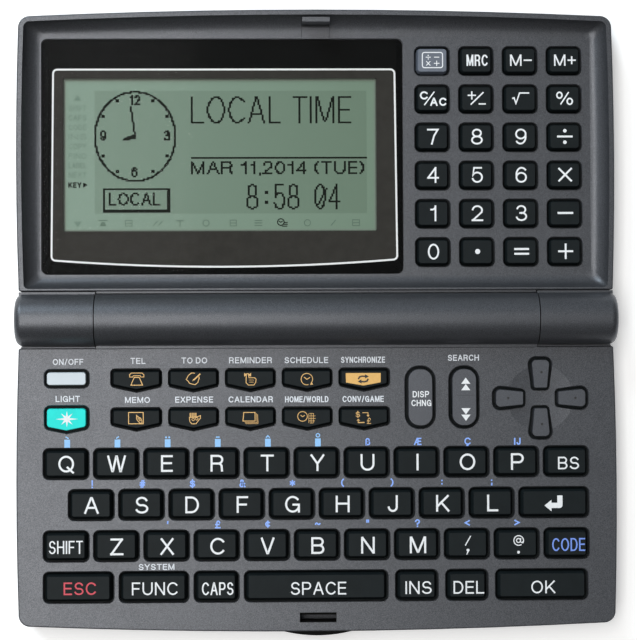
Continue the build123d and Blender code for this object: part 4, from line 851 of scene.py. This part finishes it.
@dataclass(frozen=True)
class FunctionKeys:
    """The upper part of the keyboard: pictures on the pointed keys, side keys, pills and their labels."""

    label_height: float = 1.45
    small_height: float = 1.5
    small_line: float = 0.24
    transfer_place: Point = (11.03, -14.45)
    star_place: Point = (-59.87, -23.64)
    star_reach: tuple[float, ...] = (2.75, 0.66, 1.95, 0.66, 1.95, 0.66, 1.95, 0.66)

    def dress(self) -> None:
        """Prints every label and picture."""
        self.labels()
        for name, key, x, y, drawing in (
            ("telephone", "telephone_key", -43.19, -14.21,
             "c0.16 -1.7,0.55 -1.7,1.1 -1.3,1.5 1.3,1.5 1.7,1.1 1.7,0.55 0.95,0.55 0.85,0.85 -0.85,0.85 "
             "-0.95,0.55|c0.18 -0.6,0.45 0.6,0.45 1.4,-1.4 -1.4,-1.4"),
            ("to_do", "to_do_key", -29.67, -14.2,
             "o0.18 0.35,1.4 -0.45,1.45 -1.15,0.9 -1.7,-0.1 -1.25,-0.5 -0.95,-1 -0.35,-1.2 0.45,-1.35 1.1,-0.8 "
             "1.4,0.2 1.3,0.6|o0.32 1.65,1.25 0.1,-0.25|p 0.25,-0.15 0,0.05 -0.25,-0.55"),
            ("reminder", "reminder_key", -16.06, -14.26,
             "c0.18 -0.95,1.25 -0.4,1.25 -0.3,0.3 1.05,0.3 1.4,-0.05 1.3,-0.85 0.85,-1.45 -0.45,-1.45 -1,-0.85|"
             "p -0.75,1 -1.45,1.45 -1.45,0.55|p -0.6,1 0.2,1.45 0.2,0.55|"
             "s0.1 -0.25,-0.25 0.85,-0.25|s0.1 -0.25,-0.75 0.75,-0.75"),
            ("schedule", "schedule_key", -2.5, -14.35,
             "o0.18 @0,0,1.38,1.38,-45,285,26|o0.2 -0.7,0.5 0,-0.05 0.75,0.4|p 0.75,-1.35 1.5,-1.35 1.1,-0.6"),
            ("memo", "memo_key", -43.41, -23.48,
             "c0.18 -1.75,1.35 1.75,1.35 1.75,-1.35 -1.75,-1.35|"
             "c0.16 0.15,0.65 0.6,0.25 1.05,0.05 1.4,-0.5 1.45,-1.1 1,-1.25 0.55,-0.75 0.2,-0.3|"
             "s0.12 0.45,0.1 0.95,-0.7|s0.12 0.8,-0.05 1.15,-0.6"),
            ("expense", "expense_key", -29.34, -23.56,
             "o0.24 -1.1,0.1 -1.1,1.25|o0.24 -0.65,0.1 -0.65,1.25|o0.24 -0.2,0.1 -0.2,1.25|"
             "o0.24 0.25,0.1 0.25,1.25|c0.18 -1.3,0.2 -1.2,-0.8 -0.75,-1.35 0.3,-1.35 "
             "0.75,-0.7 1.35,0 1.35,0.6 0.45,0.3|"
             "c0.14 @-0.4,-0.3,0.3,0.3,0,345|c0.14 @0.45,-0.15,0.3,0.3,0,345"),
            ("calendar", "calendar_key", -16.09, -23.57,
             "c0.18 -1.55,1.3 1.15,1.3 1.15,-0.75 -1.75,-0.75|o0.11 1.5,1.1 1.6,-1.1 -1.3,-1.1|"
             "o0.11 1.75,0.9 1.85,-1.38 -1.2,-1.38"),
            ("world_time", "world_time_key", -2.63, -23.52,
             "c0.18 @-0.95,0.25,1.16,1.16,0,345|o0.17 -1.4,0.55 -0.95,0.15 -0.4,0.5|o0.12 0.7125,0.95 1.8,0.95|"
             "o0.12 0.555,0.35 2.15,0.35|o0.12 0.5325,-0.25 2.2,-0.25|o0.12 0.6225,-0.85 2,-0.85|"
             "o0.12 0.8025,-1.35 1.6,-1.35|o0.11 0.55,-1.35 0.55,0.95|o0.11 1.1,-1.35 1.1,0.95|"
             "o0.11 1.65,-1.35 1.65,0.95"),
            ("conversion", "conversion_key", 10.98, -23.61,
             "o0.16 -0.2,1.15 1.15,1.15 1.15,0.5|p 0.8,0.6 1.5,0.6 1.15,0.1|"
             "o0.24 0.3,-1.2 -1.2,-1.2 -1.2,-0.85|p -1.6,-0.75 -0.8,-0.75 -1.2,-0.3"),
        ):
            picture = Print(f"{name}_picture", key, KEY_TOP, "ink_gold_line", "black_key")
            if name == "conversion":
                picture.words("$", x - 1.3, y + 0.75, 1.5, line=0.17)
                picture.words("£", x + 1.35, y - 0.8, 1.45, line=0.17)
            picture.picture(drawing, x, y)
            picture.finish()
        self.side_keys()

    def labels(self) -> None:
        """Prints the white words above the keys."""
        labels = Print("key_labels", "base", BASE_TOP, "ink_label", "case_plastic")
        for word, x, y, width in (
            ("TEL", -42.95, -9.81, 3.6), ("TO DO", -29.46, -9.76, 6.15), ("REMINDER", -15.99, -9.76, 10.31),
            ("SCHEDULE", -2.58, -9.79, 10.49), ("SYNCHRONIZE", 11.04, -9.77, 10.58),
            ("MEMO", -43.09, -19.17, 5.98), ("EXPENSE", -29.52, -19.14, 9.1),
            ("CALENDAR", -15.97, -19.15, 10.67), ("HOME/WORLD", -2.53, -19.19, 10.44),
            ("CONV/GAME", 11.02, -19.18, 9.92), ("ON/OFF", -59.66, -9.98, 7.3), ("LIGHT", -59.75, -18.83, 5.8),
            ("SEARCH", 35.22, -9.39, 7.5), ("SYSTEM", -38.64, -59.11, 8.54),
        ):
            labels.words(word, x, y, self.label_height, width, self.small_line)
        labels.finish()

    def side_keys(self) -> None:
        """Prints the gold key, the lamp key's star, the pills' words and arrows and the cursor keys' dots."""
        print_picture("transfer_face", "transfer_key", KEY_TOP, "ink_gold", "black_key",
                      "p -4.2,1.5 4.2,1.5 4.15,-0.75 0,-1.5 -4.15,-0.75", *self.transfer_place)
        print_picture("transfer_arrows", "transfer_key", KEY_TOP + SECOND_PRINT, "ink_dark", "black_key",
                      "o0.36 -1.2,0.03 -0.9,0.58 -0.3,0.76 0.5,0.7|p 0.4,1.18 1.35,0.68 0.45,0.18|"
                      "o0.36 1.2,0.13 0.9,-0.42 0.3,-0.6 -0.5,-0.54|p -0.4,-1.02 -1.35,-0.52 -0.45,-0.02",
                      *self.transfer_place)
        star = Print("light_star", "light_key", KEY_TOP, "ink_white", "turquoise_key")
        x, y = self.star_place
        reaches = self.star_reach * 2
        angles = [math.tau * i / len(reaches) for i in range(len(reaches))]
        star.polygon([(x + reach * math.cos(angle), y + reach * math.sin(angle))
                      for angle, reach in zip(angles, reaches)])
        star.finish()
        words = Print("display_change_words", "display_change_key", KEY_TOP, "ink_white", "grey_key")
        words.words("DISP", 24.85, -18.1, self.small_height, 3.95, self.small_line)
        words.words("CHNG", 24.95, -20.2, self.small_height, 4.8, self.small_line)
        words.finish()
        print_picture("search_arrows", "search_rocker", KEY_TOP, "ink_white", "grey_key",
                      "p -1.1,0 1.1,0 0,1.5|p -1.1,-1.55 1.1,-1.55 0,-0.05|"
                      "p 0,-7.35 1.1,-5.85 -1.1,-5.85|p 0,-8.9 1.1,-7.4 -1.1,-7.4", 35.65, -15.65)
        # A thin dark line along the rocker's middle crease: painted shade.
        print_picture("search_crease", "search_rocker", KEY_TOP, "ink_crease", "grey_key",
                      "p 33.55,-18.5 37.75,-18.5 37.75,-18.36 33.55,-18.36")
        for name, x, y in (("up", 53.9, -12.95), ("left", 45.85, -19.1), ("down", 53.95, -25.4),
                           ("right", 62.05, -19.15)):
            dot = Print(f"cursor_{name}_dot", f"cursor_{name}_key", KEY_TOP, "ink_dark", "grey_key")
            dot.disc(x, y, 0.3, 10)
            dot.finish()


@dataclass(frozen=True)
class Calculator:
    """The calculator block on the lid: figures and signs on the caps."""

    first: Point = (28.33, 62.75)
    pitch: Point = (10.69, 9.29)
    height: float = 3.85
    line: float = 0.42
    word_y: float = 62.73
    word_height: float = 2.75

    def place(self, column: int, row: int) -> Point:
        """Returns the middle of a cap."""
        return self.first[0] + self.pitch[0] * column, self.first[1] - self.pitch[1] * row

    def dress(self) -> None:
        """Prints every cap."""
        columns = [Print(f"calculator_column_{i}", f"calculator_keys_{i}", CALCULATOR_KEY_TOP, "ink_white",
                         "black_key") for i in range(1, 5)]
        for row, digits in ((2, "789"), (3, "456"), (4, "123"), (5, "0")):
            for column, digit in enumerate(digits):
                columns[column].words(digit, *self.place(column, row), self.height, line=self.line)
        columns[1].disc(*self.place(1, 5), 0.62)
        for column, word, x, width, line in ((1, "MRC", 39.18, 5.15, 0.38), (2, "M-", 49.85, 5.3, 0.36),
                                             (3, "M+", 60.55, 5.3, 0.36)):
            columns[column].words(word, x, self.word_y, self.word_height, width, line)
        columns[0].picture("c0.24 @1.95,1.35,0.5,0.5,0,90,5 @-1.95,1.35,0.5,0.5,90,180,5 "
                           "@-1.95,-1.35,0.5,0.5,180,270,5 @1.95,-1.35,0.5,0.5,270,360,5|"
                           "s0.2 -1.55,0.7 -0.5,0.7|s0.2 0.5,0.7 1.55,0.7|s0.2 0.45,-0.8 1.6,-0.8|"
                           "s0.2 1.02,-0.25 1.02,-1.35|s0.2 -1.45,-0.35 -0.6,-1.25|s0.2 -1.45,-1.25 -0.6,-0.35|"
                           "p @-1.02,1.12,0.16,0.16,0,315,7|p @-1.02,0.28,0.16,0.16,0,315,7", 28.34, 62.79)
        columns[0].words("C", 26.2, 54.2, 2.0, 1.95, 0.4)
        columns[0].picture("o0.3 26.3,51.85 28.75,55.1")
        columns[0].words("AC", 29.7, 52.65, 2.0, 3.95, 0.4)
        for column, row, sign in (
            (1, 1, "s0.34 -2,0.75 -0.35,0.75|s0.34 -1.18,1.55 -1.18,-0.1|s0.34 0.65,-1.35 2.05,-1.35|"
                   "s0.34 -1.35,-1.4 1.55,1.4"),
            (2, 1, "o0.34 -2.05,-0.05 -1.6,0.15 -1.15,-1.25 -0.25,1.3 2.1,1.3"),
            (3, 1, "c0.38 @-1.25,0.75,0.62,0.713,0,345|c0.38 @1.25,-0.75,0.62,0.713,0,345|o0.34 -1,-1.5 1,1.5"),
            (3, 2, "o0.46 -1.9,0 1.9,0|p @0,1.4,0.44,0.44,0,337.5,15|p @0,-1.4,0.44,0.44,0,337.5,15"),
            (3, 3, "s0.46 -1.45,-1.45 1.45,1.45|s0.46 -1.45,1.45 1.45,-1.45"),
            (3, 4, "o0.5 -1.9,0 1.9,0"),
            (2, 5, "o0.5 -1.8,0.58 1.8,0.58|o0.5 -1.8,-0.58 1.8,-0.58"),
            (3, 5, "s0.46 -1.6,0 1.6,0|s0.46 0,-1.65 0,1.65"),
        ):
            columns[column].picture(sign, *self.place(column, row))
        for column in columns:
            column.finish()


@dataclass
class DotField:
    """The dot matrix of the display: a set of dark dots on a fine square grid."""

    left: float = -53.6
    top: float = 55.7
    pitch: float = 0.3437
    columns: int = 192
    rows: int = 87
    bleed: float = 0.22
    dark: set[tuple[int, int]] = field(default_factory=set)

    def dot(self, column: float, row: float) -> None:
        """Darkens a dot, counted from the upper left one."""
        place = (round(column), round(row))
        if 0 <= place[0] < self.columns and 0 <= place[1] < self.rows:
            self.dark.add(place)

    def line(self, start: Point, end: Point) -> None:
        """Darkens a straight line of dots from one place to another."""
        steps = max(1, math.ceil(max(abs(end[0] - start[0]), abs(end[1] - start[1]))))
        for i in range(steps + 1):
            self.dot(*(a + (b - a) * i / steps for a, b in zip(start, end)))

    def block(self, column: int, row: int, width: int, height: int) -> None:
        """Darkens a filled block of dots."""
        for i in range(width):
            for j in range(height):
                self.dot(column + i, row + j)

    def word(self, text: str, column: float, row: float, width: float, height: float) -> None:
        """Darkens the dots of a word.

        Args:
            text: The word.
            column: Its left side.
            row: Its upper side.
            width: How many dots wide it is.
            height: How many dots high it is.
        """
        strokes, _ = Typeface.layout(text, width - 1, height, 1.0)
        for points, closed in strokes:
            dots = [(column + x - 0.5, row + height - 0.5 - y) for x, y in points]
            if closed:
                dots.append(dots[0])
            for start, end in zip(dots, dots[1:]):
                self.line(start, end)

    def draw(self, target: Print) -> None:
        """Adds the dark dots to a print, each run of a row as one strip."""
        for row in range(self.rows):
            column = 0
            while column < self.columns:
                if (column, row) not in self.dark:
                    column += 1
                    continue
                start = column
                while (column, row) in self.dark:
                    column += 1
                y = self.top - row * self.pitch
                target.rectangle(self.left + (start - self.bleed) * self.pitch,
                                 y - self.pitch * (1 + self.bleed / 2),
                                 self.left + (column + self.bleed) * self.pitch,
                                 y + self.pitch * self.bleed / 2)


@dataclass(frozen=True)
class Display:
    """The lid's window and what the display shows: a clock, a date, the time and its fixed signs."""

    outline: tuple[float, float, float, float] = (-64.0, 14.5, 19.65, 60.8)
    outline_dip: float = 1.6
    outline_lean: float = 0.011
    outline_line: float = 0.45
    outline_corner: float = 1.0
    surround_inset: float = 0.3
    bow_steps: int = 16
    aperture: tuple[float, float, float, float] = (-61.1, 21.5, 14.7, 58.6)
    clock_centre: Point = (28.0, 31.8)
    clock_reach: Point = (28.3, 31.5)
    side_words: tuple[str, ...] = ("SHIFT", "CAPS", "CODE", "INS", "COPY", "FIND", "LABEL", "NEXT")
    side_pitch: float = 2.32

    def dress(self) -> None:
        """Prints the window and the display."""
        self.window()
        self.matrix()
        self.fixed_signs()
        self.edge_shades()
        self.lit_signs()

    def bow(self, x0: float, x1: float, y: float) -> list[Point]:
        """Returns the points of a shallow bow that dips in its middle."""
        shares = [i / self.bow_steps for i in range(self.bow_steps + 1)]
        return [(x0 + (x1 - x0) * share, y - self.outline_dip * (1 - (2 * share - 1) ** 2)) for share in shares]

    def window(self) -> None:
        """Prints the white outline and the grey surround behind the window."""
        x0, y0, x1, y1 = self.outline
        left, low, right, high = self.aperture
        near, far = x0 + self.surround_inset, x1 - self.surround_inset
        grey = Print("display_surround", "lid", WINDOW_UNDER, "ink_surround", "mask")
        grey.rectangle(near, low, left, high)
        grey.rectangle(right, low, far, high)
        grey.rectangle(near, high, far, y1 - 0.1)
        grey.polygon([*self.bow(near, far, y0), (far, low), (near, low)])
        grey.finish()
        white = Print("window_outline", "lid", WINDOW_UNDER + SECOND_PRINT, "ink_outline", "window")
        corner = self.outline_corner
        loop = self.bow(x0 + corner, x1 - corner, y0)
        for x, y, start, end in ((x1 - corner, y0 + corner, -80, 0), (x1 - corner, y1 - corner, 0, 90),
                                 (x0 + corner, y1 - corner, 90, 180), (x0 + corner, y0 + corner, 180, 260)):
            loop += arc((x, y), corner, start, end, 5)
        middle = (x0 + x1) / 2
        lean = [(middle + (x - middle) * (1 - self.outline_lean * (y - y0) / (y1 - y0)), y) for x, y in loop]
        white.stroke(lean, self.outline_line, closed=True)
        white.finish()

    def matrix(self) -> None:
        """Prints the dots of the clock, the words and the time."""
        dots = DotField()
        self.clock(dots)
        for block in ((6, 69, 45, 1), (6, 69, 1, 15), (51, 69, 2, 16), (6, 84, 47, 2), (68, 47, 124, 1),
                      (120, 71, 2, 2), (120, 78, 2, 2)):
            dots.block(*block)
        for word, *place in (("LOCAL", 10, 72, 37, 9), ("LOCAL TIME", 68, 4, 114, 19),
                             ("MAR 11,2014 (TUE)", 68, 50, 123, 9), ("8", 107, 66, 9, 18),
                             ("5", 126, 66, 9, 18), ("8", 136, 66, 9, 18), ("04", 155, 66, 19, 18)):
            dots.word(word, *place)
        dots.line((157, 80), (163, 69))
        text = Print("display_dots", "lid", DISPLAY_TOP, "display_dots", "lcd")
        dots.draw(text)
        text.finish()

    def clock(self, dots: DotField) -> None:
        """Darkens the clock's dots in a matrix."""
        centre = self.clock_centre
        across, up = self.clock_reach
        for i in range(720):
            angle = math.radians(i / 2)
            dots.dot(centre[0] + across * math.cos(angle), centre[1] + up * math.sin(angle))
        for column, row in ((15, 6), (40, 6), (5, 17), (50, 17), (5, 45), (50, 45), (15, 56), (40, 56)):
            dots.block(column, row, 2, 2)
        for word, *place in (("12", 25, 3, 8, 7), ("3", 49, 28, 5, 7), ("6", 26, 54, 5, 7), ("9", 4, 28, 5, 7)):
            dots.word(word, *place)
        dots.line(centre, (25, 11))
        for lift in (-1, 0, 1):
            dots.line((centre[0], centre[1] + lift), (20, 34 + lift * 0.5))

    def fixed_signs(self) -> None:
        """Prints the fixed signs at the left and near edges that are switched off."""
        faint = Print("display_faint_signs", "lid", DISPLAY_TOP, "display_ghost", "lcd")
        faint.picture("p -58.75,53.3 -56.75,53.3 -57.75,54.9|p -58.75,24 -57.75,22.6 -56.75,24")
        for i, word in enumerate(self.side_words):
            faint.words(word, -57.75, 51.5 - self.side_pitch * i, 1.35, 4.3, 0.2)
        faint.finish()
        # The near row uses the darker copy of the switched-off ink as painted shade.
        print_picture("display_faint_icons", "lid", DISPLAY_TOP, "display_ghost_dark", "lcd",
                      "p -52.4,-0.7 -50.8,-0.7 -51.2,0.3 -52,0.3|o0.3 -52.7,0.7 -50.5,0.7|"
                      "c0.2 -46.2,-0.7 -44.6,-0.7 -44.6,0.7 -46.2,0.7|o0.2 -46.1,0 -44.7,0|"
                      "c0.2 -20.85,-0.7 -19.35,-0.7 -19.35,0.7 -20.85,0.7|o0.2 -20.75,0 -19.45,0|"
                      "c0.2 8.85,-0.7 10.55,-0.7 10.55,0.7 8.85,0.7|o0.2 8.95,0 10.45,0|"
                      "o0.25 -39.5,-0.7 -38.3,0.7|o0.25 -38.3,-0.7 -37.1,0.7|o0.25 3.6,-0.7 4.8,0.7|"
                      "s0.3 -33.8,0.6 -32.2,0.6|s0.3 -33,0.4 -33,-0.7|"
                      "c0.22 @-26.7,0,0.75,0.75,0,345|c0.22 @-2.1,0,0.75,0.75,0,345|"
                      "s0.26 -14.8,-0.6 -13.2,-0.6|s0.26 -14.8,0 -13.2,0|s0.26 -14.8,0.6 -13.2,0.6", 0, 23.55)

    def edge_shades(self) -> None:
        """Prints the shades that the window's rim casts on the display."""
        left, low, right, high = self.aperture
        for name, ink, reach, width in (("display_edge_shade", "display_edge", 0.0, 0.24),
                                        ("display_rim_shade", "display_rim", 0.24, 0.3)):
            edge = Print(name, "lid", DISPLAY_TOP, ink, "lcd")
            inset = reach + width / 2
            x0, y0, x1, y1 = left + inset, low + inset, right - inset, high - inset
            edge.stroke([(x0, y0), (x1, y0), (x1, y1), (x0, y1)], width, closed=True)
            edge.finish()

    def lit_signs(self) -> None:
        """Prints the fixed signs that are switched on."""
        bright = Print("display_lit_signs", "lid", DISPLAY_TOP, "display_dots", "lcd")
        bright.words("KEY", -58.4, 32.85, 1.35, 3.2, 0.3)
        bright.picture("p -56.4,32.2 -55.3,32.85 -56.4,33.5|c0.24 @-8.55,23.75,0.8,0.8,0,345|"
                       "s0.22 -9,23.95 -8.55,23.7 -8.15,23.95|s0.22 -8.2,22.75 -7.1,22.75|"
                       "s0.22 -7.7,23.2 -7,23.2|s0.22 -7.6,23.65 -7,23.65")
        bright.finish()


@dataclass(frozen=True)
class PhotoCamera:
    """The camera that took the photograph, as found by a fit to its straight edges."""

    image_px: float = 640.0
    focal_px: float = 1974.64
    film_mm: float = 36.0
    place: tuple[float, float, float] = (-0.01114, -0.0106, 0.48451)
    tilt_deg: float = 1.2594
    pan_deg: float = -1.3905
    roll_deg: float = -0.2252
    reach: Point = (0.01, 10.0)

    def aim(self) -> None:
        """Adds the camera to the scene."""
        data = bpy.data.cameras.new("camera")
        data.sensor_fit = "VERTICAL"
        data.sensor_height = self.film_mm
        data.lens = self.focal_px / self.image_px * self.film_mm
        data.clip_start, data.clip_end = self.reach
        camera = bpy.data.objects.new("camera", data)
        bpy.context.scene.collection.objects.link(camera)
        camera.location = self.place
        tilt, pan, roll = (Matrix.Rotation(math.radians(angle), 4, axis) for angle, axis in
                           ((self.tilt_deg, "X"), (self.pan_deg, "Y"), (self.roll_deg, "Z")))
        camera.rotation_euler = (tilt @ pan @ roll).to_euler()
        bpy.context.scene.camera = camera


@dataclass(frozen=True)
class HingeCable:
    """The flat cable in the hinge: its roll stays with the base and its tongue goes with the lid."""

    node: str = "hinge_flex_cable"
    axis_height_mm: float = 10.3
    roll_mm: float = 2.2
    roll_gap_mm: float = 0.02
    tongue_side_mm: float = 58.2
    tongue_near_mm: float = -0.2

    def build(self, cable: bpy.types.Object) -> None:
        """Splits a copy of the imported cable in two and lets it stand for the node."""
        for name, body, wanted in (("hinge_cable_roll", "base", False), ("hinge_cable_tongue", "lid", True)):
            piece = cable.copy()
            piece.data = cable.data.copy()
            piece.name = name
            bpy.context.scene.collection.objects.link(piece)
            shape = bmesh.new()
            shape.from_mesh(piece.data)
            spare = [face for face in shape.faces if self.on_tongue(face.calc_center_median()) != wanted]
            bmesh.ops.delete(shape, geom=spare, context="FACES")
            shape.to_mesh(piece.data)
            shape.free()
            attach(piece, body)
            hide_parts(self.node)

    def on_tongue(self, at: Vector) -> bool:
        """Returns whether a point of the cable is on its tongue in the lid."""
        reach = math.hypot(at.y, at.z - self.axis_height_mm * MM)
        beyond_roll = reach > (self.roll_mm + self.roll_gap_mm) * MM
        return at.y > self.tongue_near_mm * MM and at.x > self.tongue_side_mm * MM and beyond_roll


@dataclass(frozen=True)
class Lamp:
    """A soft lamp that faces the organizer, or straight down."""

    name: str
    place: tuple[float, float, float]
    sides: tuple[float, float]
    watts: float
    tint: Colour
    faces_down: bool = False

    def hang(self) -> None:
        """Adds the lamp to the scene."""
        data = bpy.data.lights.new(self.name, "AREA")
        data.shape = "RECTANGLE"
        data.size, data.size_y = self.sides
        data.energy = self.watts
        data.color = self.tint
        lamp = bpy.data.objects.new(self.name, data)
        lamp.location = self.place
        if not self.faces_down:
            lamp.rotation_euler = (-Vector(self.place)).to_track_quat("-Z", "Y").to_euler()
        bpy.context.scene.collection.objects.link(lamp)


@dataclass(frozen=True)
class Studio:
    """The white table and the soft light round it."""

    table_half: float = 3.0
    table_gap_mm: float = 0.02
    table_shade: float = 0.96
    table_glow: float = 0.32
    table_patch_mm: float = 60.0
    world_level: float = 0.2
    world_slope: tuple[float, float, float] = (-0.12, 0.12, 0.06)
    world_tint: tuple[float, float, float, float] = (0.96, 0.98, 1.0, 1.0)
    lamps: tuple[Lamp, ...] = (
        Lamp("window_lamp", (-0.6, 0.9, 0.75), (0.7, 0.7), 10.6, (0.78, 0.91, 1.0)),
        Lamp("ceiling_lamp", (-0.24, 0.02, 1.05), (0.34, 0.94), 6.8, (1.0, 0.98, 0.95), faces_down=True),
    )

    def build(self) -> None:
        """Builds the table, the world and the lamps."""
        self.lay_table(self.table_material())
        self.light_world()
        for lamp in self.lamps:
            lamp.hang()

    def table_material(self) -> bpy.types.Material:
        """Returns the white of the table, which glows a little where the camera sees it."""
        nodes = Nodes("table_white")
        low, high = (scaled(WHITE[:3], self.table_shade * share) for share in (0.99, 1.0))
        nodes.paint(nodes.noise(self.table_patch_mm, 3.0), (0.3, low), (0.7, high))
        nodes.set(Roughness=0.9, Specular_IOR_Level=0.1, Emission_Color=WHITE)
        ray = nodes.add("LightPath")
        seen, through = (nodes.add("Math", operation="ADD") for _ in range(2))
        nodes.link(ray, "Is Camera Ray", seen, 0)
        nodes.link(ray, "Is Glossy Ray", seen, 1)
        nodes.link(seen, 0, through, 0)
        nodes.link(ray, "Is Transmission Ray", through, 1)
        glow = nodes.add("Math", {1: self.table_glow}, operation="MULTIPLY")
        nodes.link(through, 0, glow, 0)
        nodes.link(glow, 0, nodes.surface, "Emission Strength")
        return nodes.material

    def lay_table(self, material: bpy.types.Material) -> None:
        """Lays the table just under the organizer."""
        data = bpy.data.meshes.new("table")
        half = self.table_half
        level = -self.table_gap_mm * MM
        corners = [(-half, -half, level), (half, -half, level), (half, half, level), (-half, half, level)]
        data.from_pydata(corners, [], [(0, 1, 2, 3)])
        data.materials.append(material)
        table = bpy.data.objects.new("table", data)
        bpy.context.scene.collection.objects.link(table)

    def light_world(self) -> None:
        """Lights the world evenly, a little brighter towards the window's side."""
        world = bpy.data.worlds.new("studio")
        bpy.context.scene.world = world
        world.use_nodes = True
        tree = world.node_tree
        background = tree.nodes["Background"]
        background.inputs["Color"].default_value = self.world_tint
        way = tree.nodes.new("ShaderNodeTexCoord")
        slope = tree.nodes.new("ShaderNodeVectorMath")
        slope.operation = "DOT_PRODUCT"
        slope.inputs[1].default_value = self.world_slope
        tree.links.new(way.outputs["Generated"], slope.inputs[0])
        level = tree.nodes.new("ShaderNodeMath")
        level.inputs[1].default_value = self.world_level
        tree.links.new(slope.outputs["Value"], level.inputs[0])
        tree.links.new(level.outputs[0], background.inputs["Strength"])


def main() -> None:
    """Builds and dresses the organizer and its studio."""
    logging.basicConfig(level=logging.INFO, format="%(message)s")
    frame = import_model()
    make_finishes()
    CaseDresser().dress(frame["nodes"])
    HingeCable().build(frame["nodes"][HingeCable.node])
    for group in (Keyboard(), FunctionKeys(), Calculator(), Display()):
        group.dress()
    Studio().build()
    PhotoCamera().aim()
    bpy.context.scene.view_settings.view_transform = "Standard"


if __name__ == "__main__":
    main()
